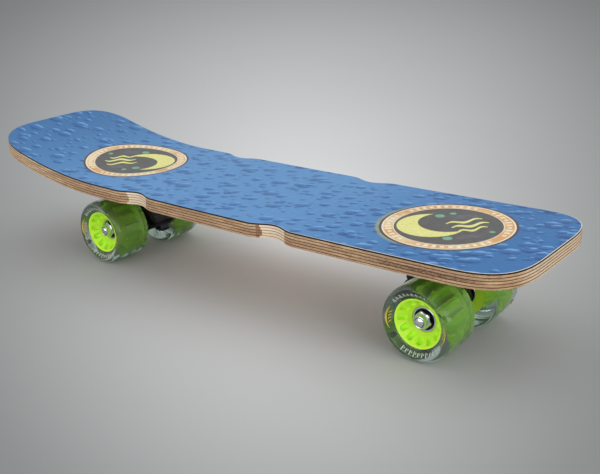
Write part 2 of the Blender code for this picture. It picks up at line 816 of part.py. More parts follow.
def axle():
    """The steel axle along Z, threaded length left plain, chamfered at both ends."""
    end = axle_nut_inner() + AXLE_NUT_HEIGHT + AXLE_TAIL
    tip = AXLE_RADIUS - AXLE_CHAMFER
    profile = [(0.0, -end), (tip, -end), (AXLE_RADIUS, AXLE_CHAMFER - end)]
    profile += [(AXLE_RADIUS, end - AXLE_CHAMFER), (tip, end), (0.0, end)]
    return turned("axle", profile, SMALL_SEGMENTS)


# Stations outward along the axle


def speed_washer_inner():
    return HANGER_HALF_WIDTH + GAP


def inner_bearing_inner():
    return speed_washer_inner() + SPEED_WASHER_THICKNESS + GAP


def spacer_inner():
    return inner_bearing_inner() + BEARING_WIDTH + GAP


def outer_bearing_inner():
    return spacer_inner() + SPACER_LENGTH + GAP


def outer_bearing_outer():
    return outer_bearing_inner() + BEARING_WIDTH


def axle_nut_inner():
    return outer_bearing_outer() + GAP


def core_outline():
    """Outer side of the core, as (radius, distance from the truck's middle), from inner face to rim."""
    rim = WHEEL_INNER_FACE + WHEEL_WIDTH - CORE_RIM_RECESS
    inner = inner_bearing_inner()
    return [
        (CORE_INNER_RADIUS, inner),
        (CORE_WAIST_RADIUS, inner + CORE_FLANGE),
        (CORE_WAIST_RADIUS, rim - CORE_FLARE),
        (CORE_RIM_RADIUS, rim - CORE_RIM_EDGE),
        (CORE_RIM_RADIUS, rim),
    ]


def core():
    """The moulded hub: bearing seats, deep outer dish with a ring of recesses, and a waisted outside."""
    seat = BEARING_RADIUS + GAP
    step = BEARING_RADIUS - BEARING_RACE
    outline = core_outline()
    rim = outline[-1][1]
    dish_edge = CORE_RIM_RADIUS - CORE_RIM_WALL
    dish_foot = outer_bearing_outer() + DISH_LIP
    profile = outline + [
        (dish_edge, rim),
        (dish_edge - CORE_RIM_WALL, rim - CORE_RIM_WALL),
        (seat, dish_foot),
        (seat, outer_bearing_inner() - GAP),
        (step, outer_bearing_inner() - GAP),
        (step, spacer_inner()),
        (seat, spacer_inner()),
        (seat, outline[0][1]),
    ]
    mesh = turned("core", profile, 2 * DIMPLE_COUNT)
    builder = bmesh.new()
    builder.from_mesh(mesh)
    middle = 0.5 * (dish_edge - CORE_RIM_WALL + seat)
    spacing = math.tau / DIMPLE_COUNT
    chosen = []
    for face in builder.faces:
        centre = face.calc_center_median()
        in_dish = dish_foot < centre.z < rim - CORE_RIM_WALL and abs(centre.xy.length - middle) < 0.001
        if in_dish and math.atan2(centre.y, centre.x) % spacing < 0.5 * spacing:
            chosen.append(face)
    bmesh.ops.inset_individual(builder, faces=chosen, thickness=DIMPLE_MARGIN, depth=-DIMPLE_DEPTH)
    builder.to_mesh(mesh)
    builder.free()
    return smooth(mesh)


def quarter_round(centre_radius, centre_height, reach, rise, turn, count):
    """Points of a quarter of an ellipse in a half outline, from angle turn onward, in degrees."""
    points = []
    for i in range(count + 1):
        angle = math.radians(turn + 90.0 * i / count)
        points.append((centre_radius + reach * math.cos(angle), centre_height + rise * math.sin(angle)))
    return points


def tyre():
    """The poured urethane: small inner lip, flat tread, full outer lip, and a face that dips to the core."""
    inner = WHEEL_INNER_FACE
    outer = WHEEL_INNER_FACE + WHEEL_WIDTH
    tread = WHEEL_RADIUS / math.cos(math.pi / WHEEL_SEGMENTS)
    lip = TREAD_INNER_LIP
    crest = tread - WHEEL_CREST_RADIUS
    profile = quarter_round(tread - lip, inner + lip, lip, lip, -90.0, 2)
    profile += quarter_round(WHEEL_CREST_RADIUS, outer - TREAD_OUTER_LIP, crest, TREAD_OUTER_LIP, 0.0, 3)
    outline = core_outline()
    profile += [(radius + GAP, height) for radius, height in reversed(outline)]
    profile.append((outline[0][0] + GAP, inner))
    return turned("tyre", profile, WHEEL_SEGMENTS, math.pi / WHEEL_SEGMENTS)


def bearing():
    """A sealed bearing. Its shielded face is at the top, and +Z points to the side that shows."""
    bore = AXLE_RADIUS + GAP
    outer_race = BEARING_RADIUS - BEARING_RACE
    inner_race = bore + BEARING_RACE
    floor = BEARING_WIDTH - SHIELD_DEPTH
    profile = [
        (bore, 0.0),
        (BEARING_RADIUS, 0.0),
        (BEARING_RADIUS, BEARING_WIDTH),
        (outer_race, BEARING_WIDTH),
        (outer_race, floor),
        (inner_race, floor),
        (inner_race, BEARING_WIDTH),
        (bore, BEARING_WIDTH),
    ]
    return turned("bearing", profile, BEARING_SEGMENTS)


def sleeve(name, radius, length):
    """A plain ring that slides on the axle."""
    bore = AXLE_RADIUS + GAP
    return turned(name, [(bore, 0.0), (radius, 0.0), (radius, length), (bore, length)], SMALL_SEGMENTS)


def truck_bolt(reach):
    """Countersunk bolt from the deck's top, with its lock nut run up under the baseplate."""
    nut_top = TRUCK_HEIGHT - PLATE_THICKNESS - GAP
    nut_bottom = nut_top - BOLT_NUT_HEIGHT
    top = reach + PLYWOOD_THICKNESS - GAP
    profile = countersunk(BOLT_RADIUS, BOLT_HEAD_RADIUS, nut_bottom - BOLT_TAIL, top)
    nut = prism("bolt_nut", hexagon(BOLT_NUT_ACROSS_FLATS), BOLT_NUT_HEIGHT, nut_bottom)
    return carved("bolt", turned("bolt", profile, BOLT_SEGMENTS), added=[nut])


def wheel(place, side, carrier, hub_frame, hub, outward, shared):
    """One wheel and what holds it. The carrier turns with the hanger and the hub frame with the wheel."""
    turn = math.radians(-90.0)
    for name, start in (
        ("speed_washer", speed_washer_inner()),
        ("spacer", spacer_inner()),
        ("axle_nut", axle_nut_inner()),
    ):
        location = Vector((0.0, side * start, 0.0)) - RING_CENTRE
        piece(name + "_" + place, shared[name], bright_steel(), carrier, location, side * turn)
    for name, key, material, start, facing in (
        ("tyre", "tyre", clear_urethane(), 0.0, 1.0),
        ("core", "core", lime_plastic(), 0.0, 1.0),
        ("bearing_outer", "bearing", bright_steel(), outer_bearing_inner(), 1.0),
        ("bearing_inner", "bearing", bright_steel(), inner_bearing_inner() + BEARING_WIDTH, -1.0),
    ):
        location = Vector((0.0, outward * (start - hub), 0.0))
        piece(name + "_" + place, shared[key], material, hub_frame, location, facing * outward * turn)


def truck(end, frame, reach, inboard, shared):
    """One complete truck under the deck, with its two wheels. The hubs stand level and square."""
    base = empty("truck_frame_" + end, None, frame)
    piece("riser_pad_" + end, riser_pad("riser_pad_" + end, frame, reach), black_urethane(), base)
    piece("baseplate_" + end, shared["baseplate"], cast_black(), base)
    cup = piece("pivot_cup_" + end, shared["pivot_cup"], black_urethane(), base)
    cup.matrix_local = along(pivot_down(), PIVOT_CENTRE)

    up = kingpin_up()
    stack = (
        ("kingpin", "kingpin", black_steel(), 1.0, 0.0),
        ("bushing_upper", "bushing_upper", black_urethane(), 1.0, ring_seat() + GAP),
        ("washer_upper", "washer_upper", black_steel(), 1.0, upper_washer_top() - WASHER_THICKNESS),
        ("bushing_lower", "bushing_lower", black_urethane(), -1.0, ring_seat() + GAP),
        ("washer_lower", "washer_lower", black_steel(), -1.0, lower_washer_bottom() - WASHER_THICKNESS),
        ("kingpin_nut", "kingpin_nut", black_steel(), -1.0, lower_washer_bottom() + GAP),
    )
    for name, key, material, direction, offset in stack:
        part = piece(name + "_" + end, shared[key], material, base)
        part.matrix_local = along(direction * up, RING_CENTRE + direction * offset * up)

    for number, (x, y) in enumerate(bolt_places(), 1):
        name = "bolt_%s_%d" % (end, number)
        piece(name, shared["bolt_" + end], black_steel(), base, (x, y, 0.0))

    steering = empty("steering_" + end, base, Matrix.Translation(RING_CENTRE))
    piece("hanger_" + end, shared["hanger"], cast_black(), steering, -RING_CENTRE)
    piece("axle_" + end, shared["axle"], bright_steel(), steering, -RING_CENTRE, math.radians(-90.0))
    hub = 0.5 * (inner_bearing_inner() + outer_bearing_outer())
    tilt = frame.to_3x3().to_4x4()
    for side in (1.0, -1.0):
        outward = side * inboard
        place = end + ("_left" if outward > 0.0 else "_right")
        level = Matrix.Translation(Vector((0.0, side * hub, 0.0)) - RING_CENTRE) @ tilt.inverted()
        hub_frame = empty("hub_" + place, steering, level)
        wheel(place, side, steering, hub_frame, hub, outward, shared)


def main():
    for old in list(bpy.data.objects):
        bpy.data.objects.remove(old)
    front = mount_frame(front_mount(), -1.0)
    rear = mount_frame(rear_mount(), 1.0)
    shared = {
        "baseplate": baseplate(),
        "pivot_cup": pivot_cup(),
        "hanger": hanger(),
        "kingpin": kingpin(),
        "kingpin_nut": lock_nut(
            "kingpin_nut",
            KINGPIN_NUT_ACROSS_FLATS,
            KINGPIN_NUT_HEIGHT,
            KINGPIN_RADIUS,
            KINGPIN_NUT_COLLAR_RADIUS,
            KINGPIN_NUT_COLLAR_HEIGHT,
        ),
        "bushing_upper": bushing("bushing_upper", UPPER_BUSHING_HEIGHT, UPPER_BUSHING_END_RADIUS),
        "bushing_lower": bushing("bushing_lower", LOWER_BUSHING_HEIGHT, LOWER_BUSHING_END_RADIUS),
        "washer_upper": cup_washer("washer_upper", UPPER_WASHER_RADIUS),
        "washer_lower": cup_washer("washer_lower", LOWER_WASHER_RADIUS),
        "axle": axle(),
        "tyre": tyre(),
        "core": core(),
        "bearing": bearing(),
        "spacer": sleeve("spacer", SPACER_RADIUS, SPACER_LENGTH),
        "speed_washer": sleeve("speed_washer", SPEED_WASHER_RADIUS, SPEED_WASHER_THICKNESS),
        "axle_nut": lock_nut(
            "axle_nut",
            AXLE_NUT_ACROSS_FLATS,
            AXLE_NUT_HEIGHT,
            AXLE_RADIUS,
            AXLE_NUT_BARREL_RADIUS,
            AXLE_NUT_BARREL_HEIGHT,
        ),
        "bolt_front": truck_bolt(front[1]),
        "bolt_rear": truck_bolt(rear[1]),
    }
    deck([front, rear])
    truck("front", front[0], front[1], -1.0, shared)
    truck("rear", rear[0], rear[1], 1.0, shared)


main()
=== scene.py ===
"""Looks of the cruiser skateboard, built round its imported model.

Units are metres. +X runs from the tail to the nose, +Y to the board's left, +Z up.
"""
import math

import bmesh
import bpy
from mathutils import Matrix, Vector


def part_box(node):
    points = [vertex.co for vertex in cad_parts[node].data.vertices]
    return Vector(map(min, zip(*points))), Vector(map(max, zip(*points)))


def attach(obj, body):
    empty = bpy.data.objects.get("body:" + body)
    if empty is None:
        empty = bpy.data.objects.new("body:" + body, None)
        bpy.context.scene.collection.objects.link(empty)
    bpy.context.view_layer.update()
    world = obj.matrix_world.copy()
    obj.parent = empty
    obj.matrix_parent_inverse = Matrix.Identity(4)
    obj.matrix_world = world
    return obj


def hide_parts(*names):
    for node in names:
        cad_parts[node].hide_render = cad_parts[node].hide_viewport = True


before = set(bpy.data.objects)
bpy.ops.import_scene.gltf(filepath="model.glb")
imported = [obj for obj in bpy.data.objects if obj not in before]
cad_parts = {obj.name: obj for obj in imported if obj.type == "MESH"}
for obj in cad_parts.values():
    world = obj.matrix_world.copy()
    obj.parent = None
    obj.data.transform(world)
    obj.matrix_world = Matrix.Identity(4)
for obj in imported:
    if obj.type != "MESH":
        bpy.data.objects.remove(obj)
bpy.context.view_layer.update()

# Deck, as the model has it. Depths are measured down from the top of its sheet
PLYWOOD_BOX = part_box("deck_plywood")
HALF_LENGTH = PLYWOOD_BOX[1][0]
HALF_WIDTH = PLYWOOD_BOX[1][1]
NOSE_CORNER_LENGTH = 0.060
TAIL_CORNER_LENGTH = 0.052
CORNER_BREADTH = 0.061
NOSE_CORNER_POWER = 3.1
TAIL_CORNER_POWER = 2.8
NOTCH_MIDDLE_X = 0.001
NOTCH_OFFSET = 0.0855
FRONT_NOTCH_X = NOTCH_MIDDLE_X + NOTCH_OFFSET
REAR_NOTCH_X = NOTCH_MIDDLE_X - NOTCH_OFFSET
NOTCH_LENGTH = 0.050
NOTCH_DEPTH = 0.0070
LOW_POINT_X = -0.035
ROCKER_RADIUS = 15.1
KICK_START_X = -0.140
KICK_RADIUS = 0.494
SHEET_SETBACK = 0.0004
PLYWOOD_DEPTH = 0.0013
PLYWOOD_THICKNESS = 0.0119
DECK_TOP_HEIGHT = PLYWOOD_BOX[0][2] + PLYWOOD_THICKNESS + PLYWOOD_DEPTH

# Detail of the deck's edge
PLIES = 9
LIGHT_PLY = 0.00182
DARK_PLY = (PLYWOOD_THICKNESS - 5 * LIGHT_PLY) / 4
DARK_PLY_SETBACK = 0.00006
TOP_ROUNDING = 0.0002
BOTTOM_ROUNDING = 0.0004
SHEET_CHAMFER = 0.00016
# Width of the sheet's outer strip that carries a painted highlight
RIM_HIGHLIGHT_WIDTH = 0.0005
LAMINATE_DEPTH = PLYWOOD_DEPTH + 0.0002

# Where a notch is paler, measured from its middle towards the nose: fresh-cut wood, painted paler still as a
# highlight where the key light falls, and a darker band beside that
LIT_FRESH_START = -0.0140
LIT_FRESH_END = 0.0150
# Length of the darker band behind the front notch's pale zone
DARK_BAND_LENGTH = 0.0022
NOTCH_POINT = 0.0032

# First material of each tone of the sawn edge
SAWN = 0
# Fresh-cut wood with a painted highlight: paler where the key light falls on the notch
FRESH_AND_LIT = 3
# A darker band, with a point, behind the front notch's pale zone
DARK_BAND = 5

# Tones along the edge. Each pair says where a tone starts and where it is full
NOSE_END = (0.304, 0.3098)
# Painted highlight: the nose's end face is paler where the key light falls on it
NOSE_END_HIGHLIGHT = (238, 218, 186)
TAIL_WEAR = (-0.17, -0.25)
TAIL_WOOD = (232, 206, 172)
TAIL_GLUE = (168, 124, 92)
BELT_START = (0.16, 0.22)
BELT_FINISH = (0.30, 0.26)
BELT_DEPTH = 0.0070
BELT_FADE = (0.0030, 0.0014)
# Painted shade: the lower plies of the edge are darker
LOW_PLIES_SHADE = (DECK_TOP_HEIGHT - 0.004, DECK_TOP_HEIGHT - 0.013)

# Tones along the sheet, in the same way. Colours are display values from 0 to 255
NOSE_BLUE = (0.05, 0.27)
TAIL_BLUE = (-0.11, -0.33)
# Where the painted highlight along the sheet's rim starts and is full, towards the nose
RIM_HIGHLIGHT_SPAN = (0.02, 0.20)
NOSE_CONTRAST = (0.05, 0.21)
TAIL_CONTRAST = (-0.11, -0.27)
NOSE_GROWTH = (0.12, 0.27)
SHEET_MIDDLE = (91, 147, 202)
SHEET_NOSE = (52, 114, 174)
SHEET_TAIL = (54, 110, 162)

# Printed drops. Each layer has its cells in a metre, least and greatest radius, share left out and offset
DROP_LAYERS = (
    (39.0, 0.0042, 0.0076, 0.20, (0.0, 0.0, 0.0)),
    (60.0, 0.0028, 0.0050, 0.25, (0.31, 0.17, 0.0)),
    (95.0, 0.0014, 0.0028, 0.45, (0.57, 0.43, 0.0)),
)
DROP_SQUASH = (0.78, 1.0, 0.0)
DROP_LEAN = 0.45
DROP_WANDER = 0.005
DROP_DARK = (28, 76, 138)
DROP_BODY = (54, 110, 170)
DROP_PALE = (118, 176, 226)
DROP_SHADOW = (26, 74, 136)

# Ring designs on the sheet, and the glow beside the one at the nose
RING_CENTRES = {"nose": (0.2127, 0.0016), "tail": (-0.1680, 0.0)}
RING_RADII = {"nose": 0.0574, "tail": 0.0558}
DECAL_LIFT = 0.00006
DECAL_SINK = 0.0003
DECAL_CUT = 0.0025
HALO_MIDDLE = (RING_CENTRES["nose"][0] - 0.0022, RING_CENTRES["nose"][1] - 0.0014)
HALO_EDGE = (0.0592, 0.0568)
HALO_DIRECTION = (0.9, 0.45)
HALO_FADE = (-0.018, -0.048)
HALO_COLOUR = (184, 178, 70)

# Wheels, measured outward from the middle of the truck
WHEEL_RADIUS = 0.0335
WHEEL_INNER_FACE = 0.0203
WHEEL_OUTER_FACE = 0.0604
INNER_LIP = 0.0025
OUTER_LIP = 0.0075
CREST_RADIUS = 0.0290
RIM_RADIUS = 0.0218
RIM_HEIGHT = WHEEL_OUTER_FACE - 0.0042
RIM_EDGE = 0.0055
RIM_WALL = 0.0011
FACE_SINK = 0.0002
CORE_OVERLAP = 0.0001
CORE_FLARE = 0.0145
WAIST_RADIUS = 0.0150
CORE_FLANGE = 0.0045
CORE_INNER_RADIUS = 0.0204
CORE_INNER_FACE = 0.0206
INNER_SEAT = 0.0279
OUTER_SEAT = 0.0379
DISH_FOOT = 0.0460
CORE_BORE_RADIUS = 0.0092
RECESSES = 12
RECESS_MIDDLE = 0.60
RECESS_HALF_LENGTH = 0.14
RECESS_RADIUS = 0.0026
RECESS_DEPTH = 0.0040
RIB_HEIGHT = 0.0050
RIB_BREADTH = 0.0024
RIB_SINK = 0.0006
INNER_BEARING = 0.0276
OUTER_BEARING = 0.0382
BEARING_RADIUS = 0.0110
BEARING_WIDTH = 0.0070
AXLE_RADIUS = 0.0040
AXLE_END = 0.0540
THREADS = 9
THREAD_PITCH = 0.00105
THREAD_DEPTH = 0.0005
NUT_SEAT = 0.0455
NUT_ACROSS_FLATS = 0.0140
NUT_HEX_HEIGHT = 0.0030
NUT_HEIGHT = 0.0076
NUT_BARREL_RADIUS = 0.0053
NUT_TURN = 14.0
WHEEL_STEPS = 144
PLACES = ("front_left", "front_right", "rear_left", "rear_right")

# Print on the tyre's face
MARK_LIFT = 0.00008
MARK_SINK = 0.0002
BAR_GROUPS = ((106.0, 9), (284.0, 11))
BAR_SPACING = 8.4
BAR_LENGTHS = (0.0034, 0.0024, 0.0030)
BAR_RADIUS = 0.0262
BOW_ANGLES = (-3.0, 177.0)
BOW_RADIUS = 0.0260

# Castings of the trucks
CASTING_VOXEL = 0.0006
CASTING_ROUNDS = 6

# The photograph's view. The ring designs, the drops and the floor's pool are turned to its azimuth
VIEW_PLACE = (0.55692, -0.61632, 0.35590)
VIEW_AZIMUTH = 0.6833
VIEW_ELEVATION = 0.3600
VIEW_ROLL = -0.0366
VIEW_LENS = 53.73

# The floor and the pool of light painted on it, whose rise and radius are slopes of sight from the
# photograph's place
FLOOR_RADIUS = 40.0
POOL_RISE = 0.010
POOL_RADIUS = 0.42
POOL_FALL = 0.8
POOL_NEAREST = 0.3
POOL_PALE = (243, 244, 244)
POOL_DARK = (140, 142, 142)

# Studio light. Each lamp has its place, size and power, and faces the same point
WORLD_COLOUR = (0.84, 0.85, 0.86, 1.0)
WORLD_STRENGTH = 0.75
LAMP_TARGET = Vector((0.0, 0.0, 0.05))
LAMPS = {
    "key": ((2.0, -0.3, 0.6), (1.6, 1.0), 16.5),
    "top": ((-0.2, 0.5, 2.2), (3.0, 3.0), 15.0),
    "fill": ((-0.2, -2.8, 0.45), (2.8, 0.8), 26.0),
}


# Node graphs


class Graph:
    """A material's nodes, with short calls for the kinds used here."""

    def __init__(self, name):
        self.material = bpy.data.materials.new(name)
        self.material.use_nodes = True
        self.nodes = self.material.node_tree.nodes
        self.shader = self.nodes["Principled BSDF"]

    def put(self, node, socket, value):
        """Set a socket to a number or link it to another node's output."""
        target = node.inputs[socket]
        if isinstance(value, bpy.types.NodeSocket):
            self.material.node_tree.links.new(value, target)
        else:
            target.default_value = value

    def set(self, **values):
        """Inputs of the Principled shader, spaces in their names written as underscores."""
        for name, value in values.items():
            self.put(self.shader, name.replace("_", " "), value)

    def node(self, kind, values, **settings):
        """A new node's outputs, once its settings and inputs are in place."""
        node = self.nodes.new("ShaderNode" + kind)
        for name, setting in settings.items():
            setattr(node, name, setting)
        for socket, value in values.items():
            self.put(node, socket, value)
        return node.outputs

    def place(self, scale=(1.0, 1.0, 1.0), turn=0.0):
        """The point on the object, in metres, stretched or turned about the upright."""
        point = self.node("TexCoord", {})["Object"]
        return self.node("Mapping", {"Vector": point, "Scale": scale, "Rotation": (0.0, 0.0, turn)})[0]

    def split(self, vector):
        return self.node("SeparateXYZ", {"Vector": vector})[:]

    def math(self, operation, *values):
        return self.node("Math", dict(enumerate(values)), operation=operation)[0]

    def times(self, a, b):
        return self.math("MULTIPLY", a, b)

    def length(self, a, b):
        """The distance whose two parts at right angles are given."""
        return self.math("SQRT", self.math("ADD", self.math("POWER", a, 2.0), self.math("POWER", b, 2.0)))

    def noise(self, scale, detail=4.0, roughness=0.55):
        """Noise over the object, with one scale or one for each direction."""
        stretch, scale = (scale, 1.0) if isinstance(scale, tuple) else ((1.0, 1.0, 1.0), scale)
        values = {"Vector": self.place(stretch), "Scale": scale, "Detail": detail, "Roughness": roughness}
        return self.node("TexNoise", values)["Fac"]

    def span(self, value, low, high, to_low=0.0, to_high=1.0, kind="SMOOTHSTEP"):
        """Map a range onto another, held at its ends."""
        values = {"Value": value, "From Min": low, "From Max": high, "To Min": to_low, "To Max": to_high}
        return self.node("MapRange", values, interpolation_type=kind)["Result"]

    def mix(self, factor, *colours):
        """Mix two colours, each given as display values 0 to 255 or as an output."""
        a, b = [value if isinstance(value, bpy.types.NodeSocket) else shade(*value) for value in colours]
        return self.node("Mix", {0: factor, 6: a, 7: b}, data_type="RGBA")[2]

    def bump(self, height, distance, strength):
        values = {"Height": height, "Distance": distance, "Strength": strength}
        self.set(Normal=self.node("Bump", values)["Normal"])


def shade(red, green, blue):
    """A display colour as the linear colour that renders as it."""
    def linear(value):
        value /= 255.0
        return value / 12.92 if value <= 0.04045 else ((value + 0.055) / 1.055) ** 2.4

    return (linear(red), linear(green), linear(blue), 1.0)


# Materials


def speckled(name, scale, deep, pale, rough, relief=None, **constants):
    """A plain material whose colour, roughness and any relief (distance, strength) follow a fine grain."""
    graph = Graph(name)
    grain = graph.noise(scale, 3.0)
    graph.set(Base_Color=graph.mix(grain, deep, pale), **constants)
    graph.set(Roughness=graph.span(grain, 0.3, 0.7, *rough))
    if relief:
        graph.bump(grain, *relief)
    return graph.material


def light_ply(name, deep, pale, fleck, fleck_share):
    """A ply that shows its fibres side on, with specks where the saw opened a pore."""
    graph = Graph(name)
    fibres = graph.noise((70.0, 70.0, 2600.0), 5.0, 0.6)
    patches = graph.noise((16.0, 16.0, 240.0), 2.0)
    specks = graph.noise((420.0, 420.0, 2400.0), 2.0)
    x, _, z = graph.split(graph.place())
    worn = graph.times(graph.span(x, *TAIL_WEAR), graph.span(patches, 0.52, 0.38, 0.35, 0.7))
    browned = graph.times(brown_belt(graph, x, z), graph.span(specks, 0.40, 0.60, 0.4, 1.0))
    colour = graph.mix(graph.span(fibres, 0.36, 0.64), deep, pale)
    for factor, tone in (
        (graph.span(patches, 0.42, 0.66, 0.0, 0.5), deep),
        # Painted shade on the lower plies
        (graph.span(z, *LOW_PLIES_SHADE, 0.0, 0.4), deep),
        # Painted highlight on the nose end
        (graph.span(x, *NOSE_END, 0.0, 0.6), NOSE_END_HIGHLIGHT),
        (worn, TAIL_WOOD),
        (browned, fleck),
        (graph.span(specks, 0.54, 0.66, 0.0, fleck_share), fleck),
    ):
        colour = graph.mix(factor, colour, tone)
    graph.set(Base_Color=colour, Roughness=graph.span(fibres, 0.3, 0.7, 0.62, 0.48))
    graph.bump(fibres, 0.0002, 0.5)
    return graph.material


def brown_belt(graph, x, z):
    """How far the middle plies are browned, between the front notch and the nose's corner."""
    bend = graph.math("POWER", graph.math("SUBTRACT", x, LOW_POINT_X), 2.0)
    level = graph.math("ADD", z, graph.times(bend, -0.5 / ROCKER_RADIUS))
    off = graph.math("ABSOLUTE", graph.math("SUBTRACT", level, DECK_TOP_HEIGHT - BELT_DEPTH))
    along = graph.times(graph.span(x, *BELT_START), graph.span(x, *BELT_FINISH))
    return graph.times(graph.span(off, *BELT_FADE), along)


def dark_ply(name, deep, pale):
    """A cross ply, which shows end grain and the glue lines beside it."""
    graph = Graph(name)
    grain = graph.noise((260.0, 260.0, 1900.0), 4.0, 0.6)
    breaks = graph.noise((60.0, 60.0, 240.0), 2.0)
    x, _, _ = graph.split(graph.place())
    worn = graph.times(graph.span(x, *TAIL_WEAR), graph.span(breaks, 0.44, 0.56, 0.1, 0.85))
    colour = graph.mix(graph.span(grain, 0.35, 0.66), deep, pale)
    graph.set(Base_Color=graph.mix(worn, colour, TAIL_GLUE), Roughness=0.6)
    graph.bump(grain, 0.0002, 0.6)
    return graph.material


def face_ply():
    """The veneer under the deck, its grain along the board."""
    graph = Graph("face_ply")
    rings = graph.noise((2.2, 45.0, 2.0), 5.0, 0.62)
    pores = graph.noise((60.0, 1400.0, 60.0), 3.0)
    colour = graph.mix(graph.span(rings, 0.35, 0.65), (170, 122, 80), (214, 170, 122))
    colour = graph.mix(graph.span(pores, 0.5, 0.75, 0.0, 0.3), colour, (120, 80, 48))
    graph.set(Base_Color=colour, Roughness=0.42, Coat_Weight=0.3, Coat_Roughness=0.2)
    graph.bump(pores, 0.0001, 0.4)
    return graph.material


def black_laminate():
    graph = Graph("black_laminate")
    colour = graph.mix(graph.noise(900.0, 3.0), (10, 10, 12), (22, 21, 23))
    graph.set(Base_Color=colour, Roughness=0.6, Specular_IOR_Level=0.3)
    return graph.material


def rim_highlight():
    """The sheet's outermost strip and its chamfer: print colour towards the tail, and a painted highlight
    along the edge towards the nose.
    """
    graph = Graph("rim_highlight")
    x, _, _ = graph.split(graph.place())
    # Painted highlight colour along the rim
    highlight = graph.mix(graph.noise(500.0, 3.0), (206, 200, 184), (238, 234, 220))
    print_colour = graph.mix(graph.span(x, *TAIL_BLUE), SHEET_MIDDLE, SHEET_TAIL)
    graph.set(Base_Color=graph.mix(graph.span(x, *RIM_HIGHLIGHT_SPAN), print_colour, highlight), Roughness=0.4)
    return graph.material


def drops(graph, point, growth, scale, least, most, left_out, offset):
    """One layer of printed drops: how far the point is inside one and in its shadow, and then, as shares of
    the drop's radius, how far it is towards the far side and from the middle."""
    moved = graph.node("VectorMath", {0: point, 1: offset}, operation="ADD")[0]
    values = {"Vector": moved, "Scale": scale, "Randomness": 1.0}
    cells = graph.node("TexVoronoi", values, voronoi_dimensions="2D")
    apart = graph.node("VectorMath", {0: moved, 1: cells["Position"]}, operation="SUBTRACT")[0]
    random_x, random_y, _ = graph.split(cells["Color"])
    radius = graph.times(graph.span(random_x, 0.0, 1.0, least, most, "LINEAR"), growth)
    along, across, _ = graph.split(apart)
    share = graph.math("DIVIDE", graph.length(along, across), radius)
    height = graph.math("DIVIDE", graph.math("ADD", across, graph.times(along, DROP_LEAN)), radius)
    inside = graph.span(share, 1.0, 0.88)
    shadow = graph.times(graph.span(share, 1.35, 0.95), graph.span(height, -0.15, -0.6))
    chosen = graph.math("GREATER_THAN", random_y, left_out)
    return graph.times(inside, chosen), graph.times(shadow, chosen), height, share


def ring_halo(graph, x, y):
    """How strongly the glow beside the nose's ring shows, on its rear left side."""
    off_x = graph.math("SUBTRACT", x, HALO_MIDDLE[0])
    off_y = graph.math("SUBTRACT", y, HALO_MIDDLE[1])
    side = graph.math("ADD", graph.times(off_x, HALO_DIRECTION[0]), graph.times(off_y, HALO_DIRECTION[1]))
    return graph.times(graph.span(graph.length(off_x, off_y), *HALO_EDGE), graph.span(side, *HALO_FADE))


def printed_sheet():
    """Blue print of drops, each with a dark near side and a pale far side."""
    graph = Graph("printed_blue_sheet")
    facing = graph.place(turn=-VIEW_AZIMUTH)
    wander = graph.node("TexNoise", {"Vector": facing, "Scale": 70.0, "Detail": 2.0})["Color"]
    bent = graph.node("Mix", {0: DROP_WANDER, 4: facing, 5: wander}, data_type="VECTOR")[1]
    point = graph.node("Mapping", {"Vector": bent, "Scale": DROP_SQUASH})[0]

    x, y, _ = graph.split(graph.place())
    colour = graph.mix(graph.span(x, *NOSE_BLUE), SHEET_MIDDLE, SHEET_NOSE)
    colour = graph.mix(graph.span(x, *TAIL_BLUE), colour, SHEET_TAIL)
    near_nose = graph.span(x, *NOSE_CONTRAST, 0.62, 0.92)
    near_tail = graph.span(x, *TAIL_CONTRAST, 0.62, 0.74)
    contrast = graph.math("MAXIMUM", near_nose, near_tail)
    growth = graph.span(x, *NOSE_GROWTH, 1.0, 1.28)
    for layer in DROP_LAYERS:
        inside, shadow, height, share = drops(graph, point, growth, *layer)
        colour = graph.mix(graph.times(shadow, graph.times(contrast, 0.5)), colour, DROP_SHADOW)
        lower = graph.mix(graph.span(height, -0.85, -0.1), DROP_DARK, DROP_BODY)
        body = graph.mix(graph.span(height, 0.15, 0.85), lower, DROP_PALE)
        edge = graph.times(graph.span(share, 0.7, 0.95), graph.span(height, 0.1, -0.3))
        toned = graph.mix(graph.times(edge, 0.6), body, DROP_SHADOW)
        colour = graph.mix(graph.times(inside, contrast), colour, toned)
    fine = graph.noise(260.0, 3.0)
    colour = graph.mix(graph.span(fine, 0.3, 0.7, 0.0, 0.05), colour, DROP_DARK)
    colour = graph.mix(graph.times(ring_halo(graph, x, y), 0.5), colour, HALO_COLOUR)
    graph.set(Base_Color=colour, Roughness=graph.span(fine, 0.3, 0.7, 0.40, 0.50), Specular_IOR_Level=0.25)
    return graph.material


def ink(name, colour, other, scale=420.0):
    """Printed colour with a little mottling."""
    graph = Graph(name)
    mottling = graph.span(graph.noise(scale), 0.35, 0.65)
    graph.set(Base_Color=graph.mix(mottling, colour, other), Roughness=0.4)
    return graph.material


def amber_ink():
    """Printed ring that goes from orange tan to cream and back round its circle."""
    graph = Graph("amber_ink")
    colour = graph.mix(graph.span(graph.noise(34.0, 2.0), 0.40, 0.62), (222, 164, 96), (236, 206, 156))
    colour = graph.mix(graph.span(graph.noise(420.0), 0.4, 0.7, 0.0, 0.3), colour, (206, 150, 96))
    graph.set(Base_Color=colour, Roughness=0.4)
    return graph.material


def urethane():
    """Clear grey-green urethane."""
    graph = Graph("clear_urethane")
    graph.set(Base_Color=shade(214, 226, 222), Roughness=0.12, IOR=1.38, Transmission_Weight=0.96)
    graph.bump(graph.noise(90.0, 3.0), 0.0004, 0.15)
    volume = graph.node("VolumeAbsorption", {"Color": shade(138, 174, 154), "Density": 14.0})[0]
    graph.put(graph.nodes["Material Output"], "Volume", volume)
    return graph.material


